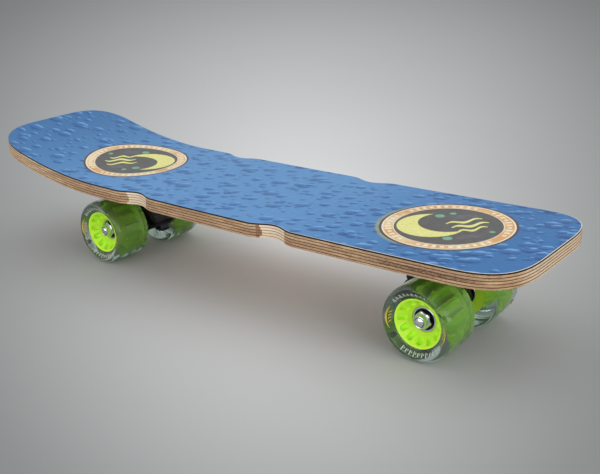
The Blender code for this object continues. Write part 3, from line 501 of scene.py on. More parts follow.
def lime_plastic():
    return speckled("lime_plastic", 700.0, (194, 250, 42), (206, 255, 62), (0.36, 0.5), (0.00006, 0.3),
                    Subsurface_Weight=0.08, Subsurface_Scale=0.002)


def black_casting():
    graph = Graph("black_casting")
    pits = graph.noise(1500.0, 3.0)
    colour = graph.mix(graph.noise(140.0, 3.0), (6, 6, 8), (14, 14, 16))
    graph.set(Base_Color=colour, Roughness=graph.span(pits, 0.3, 0.7, 0.42, 0.58), Specular_IOR_Level=0.25)
    graph.bump(pits, 0.00015, 0.5)
    return graph.material


def black_steel():
    return speckled("black_steel", 1100.0, (22, 22, 25), (46, 46, 50), (0.3, 0.45), (0.00005, 0.4),
                    Metallic=0.9)


def bright_steel():
    return speckled("bright_steel", 900.0, (196, 200, 204), (226, 229, 232), (0.12, 0.24), Metallic=1.0)


def black_urethane():
    return speckled("black_urethane", 800.0, (14, 14, 15), (28, 28, 29), (0.4, 0.55), (0.0001, 0.4))


# Meshes


def new_object(name, data):
    thing = bpy.data.objects.new(name, data)
    bpy.context.scene.collection.objects.link(thing)
    return thing


def add_piece(name, mesh, body, materials, nodes=(), matrix=Matrix.Identity(4)):
    """A finished piece that rides on a body and stands for the nodes named."""
    piece = new_object(name, mesh)
    piece.matrix_world = matrix
    if not mesh.materials:
        for material in materials:
            mesh.materials.append(material)
    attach(piece, body)
    if nodes:
        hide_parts(*nodes)


def mesh_of(builder, name, degrees):
    """The finished mesh, smooth but for edges sharper than an angle."""
    bmesh.ops.recalc_face_normals(builder, faces=builder.faces)
    mesh = bpy.data.meshes.new(name)
    builder.to_mesh(mesh)
    builder.free()
    mesh.shade_smooth()
    mesh.set_sharp_from_angle(angle=math.radians(degrees))
    return mesh


def polar(radius, angle, *height):
    """A point by its distance from the middle, its angle in radians and any height."""
    return (radius * math.cos(angle), radius * math.sin(angle), *height)


def bands(rings, closed=True):
    """Each face between a ring of points and the next, as the ring's number and the face's corners."""
    for k in range(len(rings) if closed else len(rings) - 1):
        ring = rings[k]
        following = rings[(k + 1) % len(rings)]
        for i in range(len(ring)):
            j = (i + 1) % len(ring)
            yield k, (ring[i], ring[j], following[j], following[i])


def turned(name, profile, steps, degrees):
    """Spin a closed outline of (radius, height, material index of the next face) round the Z axis."""
    builder = bmesh.new()
    angles = [math.tau * i / steps for i in range(steps)]
    rings = []
    for radius, height, _ in profile:
        if radius == 0.0:
            rings.append([builder.verts.new((0.0, 0.0, height))] * steps)
        else:
            rings.append([builder.verts.new(polar(radius, angle, height)) for angle in angles])
    for k, corners in bands(rings):
        corners = list(dict.fromkeys(corners))
        if len(corners) > 2:
            builder.faces.new(corners).material_index = profile[k][2]
    return mesh_of(builder, name, degrees)


def arc(centre_radius, centre_height, reach, rise, start, end, count):
    """Outline points along part of an ellipse, angles in degrees from the outward direction."""
    angles = [math.radians(start + (end - start) * i / count) for i in range(count + 1)]
    return [(centre_radius + reach * math.cos(a), centre_height + rise * math.sin(a), 0) for a in angles]


# Deck


def deck_height(x, depth=0.0):
    """Height of the deck's surface at a depth below the top of its sheet."""
    rocker = (x - LOW_POINT_X) ** 2 / (2.0 * ROCKER_RADIUS)
    radius = KICK_RADIUS + depth
    kick = radius - math.sqrt(radius ** 2 - max(KICK_START_X - x, 0.0) ** 2)
    return DECK_TOP_HEIGHT - depth + rocker + kick


def deck_corner(end_x, direction, length, power, steps=40):
    points = []
    for i in range(steps + 1):
        angle = 0.5 * math.pi * i / steps
        x = end_x - direction * length * (1.0 - math.cos(angle) ** (2.0 / power))
        points.append((x, HALF_WIDTH - CORNER_BREADTH * (1.0 - math.sin(angle) ** (2.0 / power))))
    return points


def deck_notch(centre, steps=48):
    points = []
    for i in range(steps + 1):
        share = i / steps
        depth = NOTCH_DEPTH * 0.5 * (1.0 - math.cos(math.tau * share))
        points.append((centre + NOTCH_LENGTH * (0.5 - share), HALF_WIDTH - depth))
    return points


def deck_side(start, end, spacing=0.006):
    count = max(1, math.ceil((start - end) / spacing))
    return [(start + (end - start) * i / count, HALF_WIDTH) for i in range(1, count)]


def deck_outline():
    """Stations down the left side, from nose to tail."""
    nose = deck_corner(HALF_LENGTH, 1.0, NOSE_CORNER_LENGTH, NOSE_CORNER_POWER)
    tail = deck_corner(-HALF_LENGTH, -1.0, TAIL_CORNER_LENGTH, TAIL_CORNER_POWER)[::-1]
    front = deck_notch(FRONT_NOTCH_X)
    rear = deck_notch(REAR_NOTCH_X)
    stations = nose + deck_side(nose[-1][0], front[0][0]) + front
    stations += deck_side(front[-1][0], rear[0][0]) + rear
    return stations + deck_side(rear[-1][0], tail[0][0]) + tail


def cut_tone(x, y, depth):
    """Which tone the edge takes: sawn, fresh where a notch was routed (painted paler still as a highlight),
    or a darker band beside that on the front notch.
    """
    if abs(y) < HALF_WIDTH - 1.1 * NOTCH_DEPTH:
        return SAWN
    across = (depth - PLYWOOD_DEPTH) / PLYWOOD_THICKNESS
    point = NOTCH_POINT * (1.0 - abs(2.0 * across - 1.0))
    for centre in (FRONT_NOTCH_X, REAR_NOTCH_X):
        off = x - centre
        if LIT_FRESH_START + point < off < LIT_FRESH_END:
            return FRESH_AND_LIT
        if centre == FRONT_NOTCH_X and LIT_FRESH_START - DARK_BAND_LENGTH < off <= LIT_FRESH_START + point:
            return DARK_BAND
    return SAWN


def deck_layer(name, rows, top_index, bottom_index, toned=False):
    """A closed layer of the deck. Each row is (depth, setback, material index of the band below it)."""
    left = [Vector((x, y, 0.0)) for x, y in deck_outline()]
    loop = left + [Vector((p.x, -p.y, 0.0)) for p in reversed(left)]
    count = len(loop)
    outward = []
    for i in range(count):
        along = loop[(i + 1) % count] - loop[i - 1]
        outward.append(Vector((along.y, -along.x, 0.0)).normalized())
    builder = bmesh.new()
    rings = []
    for depth, setback, _ in rows:
        ring = []
        for point, direction in zip(loop, outward):
            place = point - setback * direction
            ring.append(builder.verts.new((place.x, place.y, deck_height(place.x, depth))))
        rings.append(ring)
    for k, corners in bands(rings, closed=False):
        depth, _, index = rows[k]
        middle = 0.5 * (corners[0].co + corners[1].co)
        tone = cut_tone(middle.x, middle.y, depth) if toned else SAWN
        builder.faces.new(corners).material_index = index + tone
    for ring, index in ((rings[0], top_index), (rings[-1], bottom_index)):
        for i in range(len(left) - 1):
            corners = (ring[i], ring[i + 1], ring[count - 2 - i], ring[count - 1 - i])
            builder.faces.new(corners).material_index = index
    return mesh_of(builder, name, 25.0)


def plywood_rows():
    """The plies down the sawn edge, the dark ones set back a little from the light ones."""
    rows = [(LAMINATE_DEPTH, TOP_ROUNDING, 0)]
    depth = PLYWOOD_DEPTH
    for number in range(PLIES):
        dark = number % 2
        setback = DARK_PLY_SETBACK if dark else 0.0
        first = LAMINATE_DEPTH + TOP_ROUNDING if number == 0 else depth
        depth += DARK_PLY if dark else LIGHT_PLY
        bottom = number == PLIES - 1
        rows.append((first, setback, dark))
        rows.append((depth - BOTTOM_ROUNDING if bottom else depth, setback, 0 if bottom else 1))
    rows.append((depth, BOTTOM_ROUNDING, 0))
    return rows


def build_deck():
    materials = (
        light_ply("light_ply", (166, 126, 90), (226, 194, 152), (104, 68, 42), 0.55),
        dark_ply("dark_ply", (54, 30, 20), (100, 60, 38)),
        face_ply(),
        # Fresh-cut notch wood, painted paler as a highlight where the key light falls
        light_ply("fresh_lit_light_ply", (222, 200, 170), (250, 236, 212), (190, 152, 114), 0.3),
        dark_ply("fresh_lit_dark_ply", (146, 110, 80), (184, 148, 114)),
        # A darker band behind the front notch's pale zone
        light_ply("dark_band_light_ply", (140, 98, 68), (182, 138, 100), (88, 56, 38), 0.5),
        dark_ply("dark_band_dark_ply", (88, 54, 36), (120, 80, 54)),
    )
    wood = deck_layer("deck_plies", plywood_rows(), 0, 2, toned=True)
    add_piece("deck_plies", wood, "deck", materials, ("deck_plywood",))
    rows = [
        # The outer strip and the chamfer carry the painted rim highlight, then black laminate
        (0.0, SHEET_SETBACK + SHEET_CHAMFER + RIM_HIGHLIGHT_WIDTH, 1),
        (0.00003, SHEET_SETBACK + SHEET_CHAMFER, 1),
        (0.6 * SHEET_CHAMFER, SHEET_SETBACK, 2),
        (LAMINATE_DEPTH, SHEET_SETBACK, 2),
    ]
    sheet = deck_layer("printed_sheet", rows, 0, 2)
    materials = (printed_sheet(), rim_highlight(), black_laminate())
    add_piece("printed_sheet", sheet, "deck", materials, ("top_sheet",))


# Ring designs on the sheet


def decal(name, end, pattern, lift):
    """Thin printed shapes that lie on the sheet.

    The pattern is a list of (outline, index). Each outline is a flat loop in the ring's own directions,
    across the view and away from it, as shares of the ring's radius.
    """
    centre = Vector(RING_CENTRES[end])
    radius = RING_RADII[end]
    across = Vector((math.cos(VIEW_AZIMUTH), math.sin(VIEW_AZIMUTH)))
    away = Vector((-across.y, across.x))
    builder = bmesh.new()
    for outline, index in pattern:
        points = [centre + radius * (u * across + v * away) for u, v in outline]
        corners = [builder.verts.new((*point, 0.0)) for point in points]
        builder.faces.new(corners).material_index = index
    cuts = math.ceil(radius / DECAL_CUT)
    for k in range(-cuts, cuts + 1):
        cut = (centre.x + k * DECAL_CUT, 0.0, 0.0)
        geometry = builder.verts[:] + builder.edges[:] + builder.faces[:]
        bmesh.ops.bisect_plane(builder, geom=geometry, plane_co=cut, plane_no=(1.0, 0.0, 0.0))
    grown = bmesh.ops.extrude_face_region(builder, geom=builder.faces[:], use_keep_orig=True)
    for item in grown["geom"]:
        if isinstance(item, bmesh.types.BMVert):
            item.co.z = -1.0
    for vert in builder.verts:
        vert.co.z = deck_height(vert.co.x, -lift if vert.co.z == 0.0 else DECAL_SINK)
    return mesh_of(builder, name, 30.0)


def rotated(points, degrees, centre=(0.0, 0.0)):
    """Flat points turned about the origin and then moved."""
    cosine, sine = math.cos(math.radians(degrees)), math.sin(math.radians(degrees))
    return [(centre[0] + x * cosine - y * sine, centre[1] + x * sine + y * cosine) for x, y in points]


def circle(radius, centre, steps=28):
    return rotated([polar(radius, math.tau * i / steps) for i in range(steps)], 0.0, centre)


def sector(inner, outer, start, end, steps=6):
    """A piece of a ring between two angles in degrees."""
    angles = [math.radians(start + (end - start) * i / steps) for i in range(steps + 1)]
    return [polar(outer, a) for a in angles] + [polar(inner, a) for a in reversed(angles)]


def crescent(centre, radius, bite, offset, turn, steps=40):
    """A moon shape: a disc less another disc that is moved sideways."""
    reach = (radius ** 2 - bite ** 2 + offset ** 2) / (2.0 * offset)
    outer_angle = math.acos(reach / radius)
    inner_angle = math.acos((reach - offset) / bite)
    points = []
    for i in range(steps + 1):
        points.append(polar(radius, outer_angle + (math.tau - 2.0 * outer_angle) * i / steps))
    for i in range(1, steps):
        x, y = polar(bite, math.tau - inner_angle - (math.tau - 2.0 * inner_angle) * i / steps)
        points.append((offset + x, y))
    return rotated(points, turn, centre)


def closed_loop(rows):
    """The outline of a strip whose rows are (left point, right point)."""
    return [left for left, _ in rows] + [right for _, right in reversed(rows)]


def wave(start, end, height, thickness, swell, crests, steps=48):
    """A band that rises and falls as it runs from one end to the other."""
    rows = []
    for i in range(steps + 1):
        share = i / steps
        u = start[0] + (end[0] - start[0]) * share
        v = start[1] + (end[1] - start[1]) * share
        lift = height * math.sin(math.tau * crests * share)
        taper = thickness * (0.35 + swell * math.sin(math.pi * share))
        rows.append(((u, v + lift + taper), (u, v + lift - taper)))
    return closed_loop(rows)


def ring_base(pieces=24):
    """Round bands from the rim to the middle."""
    edges = (1.0, 0.962, 0.935, 0.800, 0.785, 0.0001)
    step = 360.0 / pieces
    shapes = []
    for outer, inner, index in zip(edges, edges[1:], (0, 1, 2, 1, 3)):
        shapes += [(sector(inner, outer, k * step, (k + 1) * step), index) for k in range(pieces)]
    return shapes


def ring_ticks(turn, count=48, radius=0.868):
    """Short strokes across the amber band, with four gaps."""
    shapes = []
    for k in range(count):
        if k % 12 not in (5, 6):
            angle = k * 360.0 / count + turn
            half = (0.050, 0.030, 0.042)[k % 3]
            shapes.append((sector(radius - half, radius + half, angle - 2.1, angle + 1.7, 2), 0))
    return shapes


def ring_motifs(turn):
    """A moon over a swell, with a few dots and fine lines."""
    shapes = [(crescent((-0.24, 0.06), 0.50, 0.42, 0.26, 20.0), 0)]
    for k, (height, swell) in enumerate(((0.18, 0.8), (0.0, 1.0), (-0.18, 0.7))):
        start = (-0.02 + 0.05 * k, height - 0.10)
        finish = (0.60 - 0.06 * abs(k - 1), height + 0.04)
        shapes.append((wave(start, finish, 0.045, 0.036, swell, 1.5), 0))
    for u, v, size in ((-0.05, 0.44, 0.075), (0.16, 0.52, 0.05), (-0.10, -0.52, 0.07), (0.56, -0.36, 0.045)):
        shapes.append((circle(size, (u, v)), 1))
    for k in range(4):
        shapes.append((wave((0.10, 0.40 - 0.045 * k), (0.50, 0.44 - 0.05 * k), 0.0, 0.007, 0.4, 1.0, 8), 2))
    for k in range(3):
        shapes.append((wave((0.02, -0.46 - 0.05 * k), (0.40, -0.44 - 0.05 * k), 0.0, 0.007, 0.4, 1.0, 8), 2))
    return [(rotated(outline, turn), index) for outline, index in shapes]


def build_rings():
    border = ink("border_ink", (66, 46, 40), (84, 60, 50))
    cream = ink("cream_ink", (246, 238, 214), (234, 222, 190))
    amber = amber_ink()
    charcoal = ink("charcoal_ink", (84, 84, 80), (72, 72, 70), scale=160.0)
    yellow = ink("pale_yellow_ink", (238, 236, 146), (226, 222, 128))
    mint = ink("mint_ink", (120, 178, 150), (100, 158, 136))
    violet = ink("violet_ink", (140, 136, 156), (118, 116, 134))
    for end, turn in (("nose", 0.0), ("tail", 180.0)):
        for kind, pattern, layer, inks in (
            ("ring_base_", ring_base(), 1, (border, cream, amber, charcoal)),
            ("ring_ticks_", ring_ticks(turn), 2, (cream,)),
            ("ring_motifs_", ring_motifs(turn), 2, (yellow, mint, violet)),
        ):
            mesh = decal(kind + end, end, pattern, layer * DECAL_LIFT)
            add_piece(kind + end, mesh, "deck", inks)


# Wheels


def wheel_matrix(place):
    """The wheel's frame: origin at the middle of the truck, +Z outward along the axle."""
    low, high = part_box("tyre_" + place)
    outward = 1.0 if "left" in place else -1.0
    middle = Vector((0.5 * (low[0] + high[0]), 0.0, 0.5 * (low[2] + high[2])))
    return Matrix.Translation(middle) @ Matrix.Rotation(-0.5 * math.pi * outward, 4, "X")


def core_outside(margin=0.0):
    """Outer side of the core from its inner face to its rim, drawn in by a margin."""
    points = [(CORE_INNER_RADIUS, CORE_INNER_FACE), (WAIST_RADIUS, CORE_INNER_FACE + CORE_FLANGE)]
    points += [(WAIST_RADIUS, RIM_HEIGHT - CORE_FLARE), (RIM_RADIUS, RIM_HEIGHT - RIM_EDGE)]
    points.append((RIM_RADIUS, RIM_HEIGHT))
    return [(radius - margin, height) for radius, height in points]


def face_height(radius):
    """Height of the tyre's outer face, between the core's rim and the crest."""
    share = (CREST_RADIUS - radius) / (CREST_RADIUS - RIM_RADIUS)
    sag = 0.5 * (1.0 - math.cos(math.pi * share))
    return WHEEL_OUTER_FACE + (RIM_HEIGHT - FACE_SINK - WHEEL_OUTER_FACE) * sag


def tyre_mesh():
    """The tyre, whose bore laps a little into the core so that no gap shows between them."""
    inner = WHEEL_INNER_FACE
    profile = arc(WHEEL_RADIUS - INNER_LIP, inner + INNER_LIP, INNER_LIP, INNER_LIP, -90.0, 0.0, 8)
    crest = WHEEL_OUTER_FACE - OUTER_LIP
    profile += arc(CREST_RADIUS, crest, WHEEL_RADIUS - CREST_RADIUS, OUTER_LIP, 0.0, 90.0, 20)
    steps = 6
    for i in range(1, steps):
        radius = CREST_RADIUS + (RIM_RADIUS - CREST_RADIUS) * i / steps
        profile.append((radius, face_height(radius), 0))
    profile.append((RIM_RADIUS - CORE_OVERLAP, RIM_HEIGHT - FACE_SINK, 0))
    profile += [(radius, height, 0) for radius, height in reversed(core_outside(CORE_OVERLAP)[:-1])]
    profile.append((CORE_INNER_RADIUS - CORE_OVERLAP, inner, 0))
    return turned("tyre", profile, WHEEL_STEPS, 50.0)


def add_ribs(builder):
    """Ribs round the core's waist, which hold it in the urethane and show through it."""
    low = CORE_INNER_FACE + CORE_FLANGE - 0.0012
    high = RIM_HEIGHT - CORE_FLARE + 0.0030
    inner = WAIST_RADIUS - RIB_SINK
    half = 0.5 * RIB_BREADTH
    for k in range(RECESSES):
        turn = Matrix.Rotation(math.tau * (k + 0.5) / RECESSES, 3, "Z")
        rows = []
        for height, reach in ((low, 0.6), (low + 0.004, 1.0), (high - 0.006, 1.0), (high, 1.5)):
            outer = WAIST_RADIUS + RIB_HEIGHT * reach
            corners = ((inner, -half), (outer, -0.7 * half), (outer, 0.7 * half), (inner, half))
            rows.append([builder.verts.new(turn @ Vector((x, y, height))) for x, y in corners])
        for _, corners in bands(rows, closed=False):
            builder.faces.new(corners)
        builder.faces.new(rows[0])
        builder.faces.new(rows[-1])


def recess_depth(position, length, aside):
    """Depth of a recess at a position up the dish's slope, aside from the recess's middle line."""
    beyond = max(abs(position - RECESS_MIDDLE * length) - RECESS_HALF_LENGTH * length, 0.0)
    away = min(math.hypot(beyond, aside) / RECESS_RADIUS, 1.0)
    return RECESS_DEPTH * (1.0 - away ** 3)


def core_mesh():
    """The moulded core, with round-ended recesses round its dish."""
    edge = RIM_RADIUS - RIM_WALL
    seat = BEARING_RADIUS + 0.0002
    top = Vector((edge - 0.0009, RIM_HEIGHT - 0.0012))
    bottom = Vector((seat + 0.0012, DISH_FOOT + 0.0006))
    slope = (top - bottom).normalized()
    length = (top - bottom).length
    rows = 34
    dish = [(edge, RIM_HEIGHT), (edge - 0.0005, RIM_HEIGHT - 0.0003)]
    dish += [tuple(top.lerp(bottom, i / rows)) for i in range(rows + 1)]
    dish += [(seat + 0.0003, DISH_FOOT + 0.0001), (seat, DISH_FOOT - 0.0004)]
    bore = [(seat, OUTER_SEAT), (CORE_BORE_RADIUS, OUTER_SEAT), (CORE_BORE_RADIUS, INNER_SEAT)]
    bore += [(seat, INNER_SEAT), (seat, CORE_INNER_FACE)]
    spacing = math.tau / RECESSES
    steps = RECESSES * 24
    builder = bmesh.new()
    rings = []
    outside = core_outside()
    for number, (radius, height) in enumerate(outside + dish + bore):
        in_dish = len(outside) <= number < len(outside + dish)
        position = (Vector((radius, height)) - bottom).dot(slope)
        ring = []
        for i in range(steps):
            angle = math.tau * i / steps
            aside = ((angle + 0.5 * spacing) % spacing - 0.5 * spacing) * radius
            depth = recess_depth(position, length, aside) if in_dish else 0.0
            ring.append(builder.verts.new(polar(radius + depth * slope.y, angle, height - depth * slope.x)))
        rings.append(ring)
    for _, corners in bands(rings):
        builder.faces.new(corners)
    add_ribs(builder)
    return mesh_of(builder, "core", 40.0)


def bearing_mesh():
    """A shielded bearing. Its visible side is at the top."""
    top = BEARING_WIDTH
    shield = top - 0.0005
    chamfer = 0.0003
    outer = BEARING_RADIUS
    bore = AXLE_RADIUS + 0.0002
    profile = [(bore, 0.0, 0), (outer - chamfer, 0.0, 0), (outer, chamfer, 0), (outer, top - chamfer, 0)]
    profile += [(outer - chamfer, top, 0), (outer - 0.0014, top, 0), (outer - 0.0016, top - chamfer, 1)]
    profile += [(outer - 0.0019, shield, 1), (bore + 0.0020, shield, 1), (bore + 0.0018, top - chamfer, 0)]
    profile += [(bore + 0.0017, top, 0), (bore, top, 0)]
    return turned("bearing", profile, 96, 25.0)


def hexagon_radius(angle):
    side = math.tau / 6
    return 0.5 * NUT_ACROSS_FLATS / math.cos((angle + 0.5 * side) % side - 0.5 * side)


def nut_mesh():
    """The axle nut: a chamfered hexagon that carries the round barrel of its locking ring. Its levels are
    (radius, height), cut by the hexagon, and the last but one carries the nylon."""
    bore = AXLE_RADIUS + 0.0001
    flat = 0.5 * NUT_ACROSS_FLATS
    corner = flat / math.cos(math.pi / 6)
    barrel = NUT_BARREL_RADIUS
    top = NUT_HEIGHT
    ledge = NUT_HEX_HEIGHT
    levels = [(bore, 0.0), (0.97 * flat, 0.0), (corner, 0.0006), (corner, ledge - 0.0009)]
    levels += [(1.05 * flat, ledge - 0.0003), (0.96 * flat, ledge), (barrel + 0.0006, ledge)]
    levels += [(barrel + 0.0001, ledge + 0.0005), (barrel, ledge + 0.0012), (barrel, top - 0.0005)]
    levels += [(barrel - 0.0002, top - 0.0001), (barrel - 0.0005, top), (barrel - 0.0008, top - 0.0001)]
    levels += [(barrel - 0.0009, top - 0.0005), (bore, top - 0.0005)]
    builder = bmesh.new()
    rings = []
    angles = [math.tau * i / WHEEL_STEPS for i in range(WHEEL_STEPS)]
    for radius, level in levels:
        points = [polar(min(radius, hexagon_radius(angle)), angle, level) for angle in angles]
        rings.append([builder.verts.new(point) for point in points])
    for k, corners in bands(rings):
        builder.faces.new(corners).material_index = 1 if k == len(levels) - 2 else 0
    return mesh_of(builder, "nut", 28.0)


def face_mark(builder, rows):
    """A printed mark on the tyre's face, from rows of left and right points (angle in degrees, radius)."""
    outline = closed_loop(rows)
    layers = []
    for lift in (MARK_LIFT, -MARK_SINK):
        points = [polar(radius, math.radians(angle), face_height(radius) + lift) for angle, radius in outline]
        layers.append([builder.verts.new(point) for point in points])
    last = len(outline) - 1
    for i in range(len(rows) - 1):
        for layer in layers:
            builder.faces.new((layer[i], layer[i + 1], layer[last - i - 1], layer[last - i]))
    for _, corners in bands(layers, closed=False):
        builder.faces.new(corners)


def bar(middle, breadth, inner, outer, skew=0.0, steps=5):
    """A bar that stands across the face, leaning by skew degrees."""
    rows = []
    for i in range(steps):
        share = i / (steps - 1)
        radius = inner + (outer - inner) * share
        angle = middle + skew * (share - 0.5)
        rows.append(((angle - 0.5 * breadth, radius), (angle + 0.5 * breadth, radius)))
    return rows


def bow(middle, breadth, radius, inner, outer, steps=17):
    """A curved strip that tapers to both ends, between two swells above a radius."""
    rows = []
    for i in range(steps):
        share = i / (steps - 1)
        swell = math.sin(math.pi * min(max(share, 0.02), 0.98)) ** 0.8
        angle = middle + breadth * (share - 0.5)
        rows.append(((angle, radius + outer * swell), (angle, radius + inner * swell)))
    return rows


def dot(middle, radius, size, steps=14):
    """A round dot on the face."""
    rows = []
    for i in range(steps):
        turn = math.pi * (i + 0.02) / (steps - 0.96)
        angle = middle - math.degrees(size * math.cos(turn) / radius)
        rise = size * math.sin(turn)
        rows.append(((angle, radius + rise), (angle, radius - rise)))
    return rows


def tyre_print_meshes():
    """Plain marks round the tyre's face: white bars, yellow bows that stand on small bars, and dark dots."""
    white = bmesh.new()
    yellow = bmesh.new()
    dark = bmesh.new()
    for group, count in BAR_GROUPS:
        for i in range(count):
            middle = group + BAR_SPACING * (i - 0.5 * (count - 1))
            half = 0.5 * BAR_LENGTHS[i % 3]
            face_mark(white, bar(middle, 2.0, BAR_RADIUS - half, BAR_RADIUS + half))
            face_mark(white, bar(middle + 3.4, 1.3, BAR_RADIUS - 0.0012, BAR_RADIUS))
    for middle in BOW_ANGLES:
        face_mark(yellow, bow(middle, 46.0, BOW_RADIUS, 0.0010, 0.0023))
        for k in range(4):
            face_mark(yellow, bar(middle + 6.4 * (k - 1.5), 2.2, BOW_RADIUS - 0.0018, BOW_RADIUS, 3.0))
        face_mark(dark, dot(middle + 37.0, 0.0258, 0.0023))
    builders = {"tyre_bars": white, "tyre_bows": yellow, "tyre_dots": dark}
    return [mesh_of(builder, name, 40.0) for name, builder in builders.items()]


def axle_mesh():
    """The axle's rod, threaded and chamfered at both ends, along its own Z axis."""
    half = AXLE_END
    crest = AXLE_RADIUS - 0.0001
    root = crest - THREAD_DEPTH
    outline = [(0.0, half, 0), (root - 0.0003, half, 0), (crest - 0.0003, half - 0.0004, 0)]
    for k in range(THREADS):
        height = half - 0.0005 - k * THREAD_PITCH
        outline += [(crest, height, 0), (root, height - 0.5 * THREAD_PITCH, 0)]
    outline.append((crest, half - 0.0005 - THREADS * THREAD_PITCH, 0))
    mirrored = [(radius, -height, 0) for radius, height, _ in reversed(outline)]
    return turned("axle", outline + mirrored, 64, 50.0)


def on_axle(height=0.0, turn=0.0, axis="Z"):
    """A place on the axle in the wheel's frame, turned about an axis."""
    return Matrix.Translation((0.0, 0.0, height)) @ Matrix.Rotation(turn, 4, axis)


def build_wheels():
    steel = bright_steel()
    steels = (steel, black_steel())
    nylon = black_urethane()
    white = ink("white_print", (208, 214, 208), (180, 188, 182))
    yellow = ink("yellow_print", (214, 184, 80), (196, 150, 66))
    dark = ink("dark_print", (20, 32, 27), (32, 46, 39))
    race = bearing_mesh()
    nut = nut_mesh()
    bars, bows, dots = tyre_print_meshes()
    pieces = (
        ("urethane_", tyre_mesh(), "clear_urethane", (urethane(),), "tyre_", on_axle()),
        ("lime_core_", core_mesh(), "lime_plastic", (lime_plastic(),), "core_", on_axle()),
        ("tyre_bars_", bars, "clear_urethane", (white,), None, on_axle()),
        ("tyre_bows_", bows, "clear_urethane", (yellow,), None, on_axle()),
        ("tyre_dots_", dots, "clear_urethane", (dark,), None, on_axle()),
        ("race_outer_", race, "bright_steel", steels, "bearing_outer_", on_axle(OUTER_BEARING)),
        ("race_inner_", race, "bright_steel", steels, "bearing_inner_", on_axle(INNER_BEARING, math.pi, "X")),
    )
    for place in PLACES:
        wheel = wheel_matrix(place)
        for piece, mesh, slot, materials, node, offset in pieces:
            nodes = (node + place,) if node else ()
            add_piece(piece + place, mesh, "wheel_" + place, materials, nodes, wheel @ offset)
        end, side = place.split("_")
        seat = wheel @ on_axle(NUT_SEAT, math.radians(NUT_TURN if side == "right" else -NUT_TURN))
        add_piece("wheel_nut_" + place, nut, "hanger_" + end, (steel, nylon),
                  ("axle_nut_" + place,), seat)
    rod = axle_mesh()
    for end in ("front", "rear"):
        matrix = wheel_matrix(end + "_left")
        add_piece("rod_" + end, rod, "hanger_" + end, (steel,), ("axle_" + end,), matrix)


# Trucks


def smoothed(node):
    """A copy of a node's mesh with the soft edges of a casting."""
    rough = new_object("rough", node.data.copy())
    rough.data.materials.clear()
    rough.matrix_world = node.matrix_world
    remesh = rough.modifiers.new("remesh", "REMESH")
    remesh.mode = "VOXEL"
    remesh.voxel_size = CASTING_VOXEL
    remesh.use_smooth_shade = True
    smooth = rough.modifiers.new("smooth", "SMOOTH")
    smooth.factor = 0.5
    smooth.iterations = CASTING_ROUNDS
    graph = bpy.context.evaluated_depsgraph_get()
    mesh = bpy.data.meshes.new_from_object(rough.evaluated_get(graph))
    bpy.data.objects.remove(rough)
    mesh.name = "soft_" + node.name
    return mesh


def build_trucks():
    cast = black_casting()
    steel = black_steel()
    rubber = black_urethane()
    bright = bright_steel()
    for material, prefixes in (
        (steel, ("kingpin_", "washer_", "bolt_")),
        (rubber, ("bushing_", "pivot_cup_", "riser_pad_")),
        (bright, ("spacer_", "speed_washer_")),
    ):
        for name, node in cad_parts.items():
            if name.startswith(prefixes):
                node.data.materials.clear()
                node.data.materials.append(material)
    for end in ("front", "rear"):
        for kind, body in (("hanger_", "hanger_" + end), ("baseplate_", "deck")):
            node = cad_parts[kind + end]
            add_piece("cast_" + kind + end, smoothed(node), body, (cast,), (kind + end,),
                      node.matrix_world)


# Stage


def build_camera():
    """The photograph's view."""
    level = math.cos(VIEW_ELEVATION)
    back = Vector((math.sin(VIEW_AZIMUTH) * level, -math.cos(VIEW_AZIMUTH) * level, math.sin(VIEW_ELEVATION)))
    right = Vector((0.0, 0.0, 1.0)).cross(back).normalized()
    up = back.cross(right)
    tilted_right = math.cos(VIEW_ROLL) * right + math.sin(VIEW_ROLL) * up
    tilted_up = math.cos(VIEW_ROLL) * up - math.sin(VIEW_ROLL) * right
    camera = new_object("camera", bpy.data.cameras.new("camera"))
    rotation = Matrix((tilted_right, tilted_up, back)).transposed().to_4x4()
    camera.matrix_world = Matrix.Translation(VIEW_PLACE) @ rotation
    camera.data.sensor_fit = "HORIZONTAL"
    camera.data.sensor_width = 36.0
    camera.data.lens = VIEW_LENS
    camera.data.clip_start = 0.01
    bpy.context.scene.camera = camera


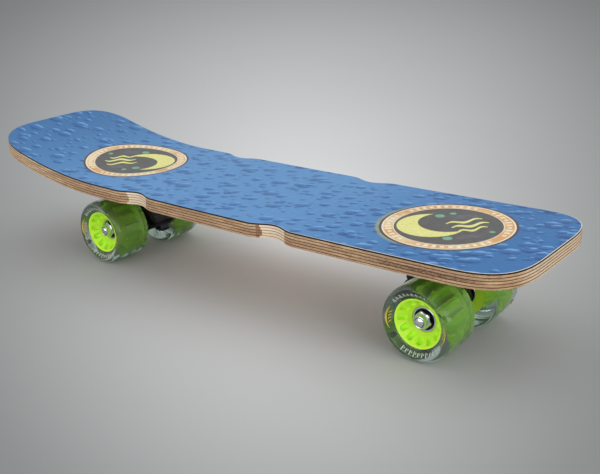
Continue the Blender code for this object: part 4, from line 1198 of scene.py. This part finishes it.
def floor_light_pool():
    """Grey studio paper with a painted pool of light, pale in the middle and darker outward, which is round
    as the photograph's place sees it.
    """
    graph = Graph("floor")
    across, away, _ = graph.split(graph.place(turn=-VIEW_AZIMUTH))
    cosine, sine = math.cos(VIEW_AZIMUTH), math.sin(VIEW_AZIMUTH)
    level, climb = math.cos(VIEW_ELEVATION), math.sin(VIEW_ELEVATION)
    x, y, height = VIEW_PLACE
    across = graph.math("SUBTRACT", across, x * cosine + y * sine)
    away = graph.math("ADD", away, x * sine - y * cosine)
    distance = graph.math("MAXIMUM", graph.math("MULTIPLY_ADD", away, level, climb * height), POOL_NEAREST)
    side = graph.math("DIVIDE", across, distance)
    rise = graph.math("DIVIDE", graph.math("MULTIPLY_ADD", away, climb, -level * height), distance)
    rise = graph.math("SUBTRACT", rise, POOL_RISE)
    off = graph.math("DIVIDE", graph.length(side, rise), POOL_RADIUS)
    fall = graph.math("SMOOTH_MIN", graph.math("POWER", off, POOL_FALL), 1.0, 0.1)
    grain = graph.span(graph.noise(3.0, 2.0), 0.3, 0.7, 0.0, 0.04)
    colour = graph.mix(grain, graph.mix(fall, POOL_PALE, POOL_DARK), (160, 160, 160))
    graph.set(Base_Color=colour, Roughness=0.9, Specular_IOR_Level=0.1)
    return graph.material


def build_stage():
    scene = bpy.context.scene
    scene.view_settings.view_transform = "Standard"
    builder = bmesh.new()
    bmesh.ops.create_circle(builder, cap_ends=True, segments=64, radius=FLOOR_RADIUS)
    mesh = bpy.data.meshes.new("floor")
    builder.to_mesh(mesh)
    builder.free()
    floor = new_object("floor", mesh)
    mesh.materials.append(floor_light_pool())

    world = bpy.data.worlds.new("studio")
    scene.world = world
    world.use_nodes = True
    background = world.node_tree.nodes["Background"]
    background.inputs["Color"].default_value = WORLD_COLOUR
    background.inputs["Strength"].default_value = WORLD_STRENGTH
    for name, (place, size, power) in LAMPS.items():
        lamp = bpy.data.lights.new(name, "AREA")
        lamp.shape = "RECTANGLE"
        lamp.size, lamp.size_y = size
        lamp.energy = power
        light = new_object(name, lamp)
        light.location = place
        light.rotation_euler = (LAMP_TARGET - Vector(place)).to_track_quat("-Z", "Y").to_euler()


build_stage()
build_camera()
build_deck()
build_rings()
build_wheels()
build_trucks()
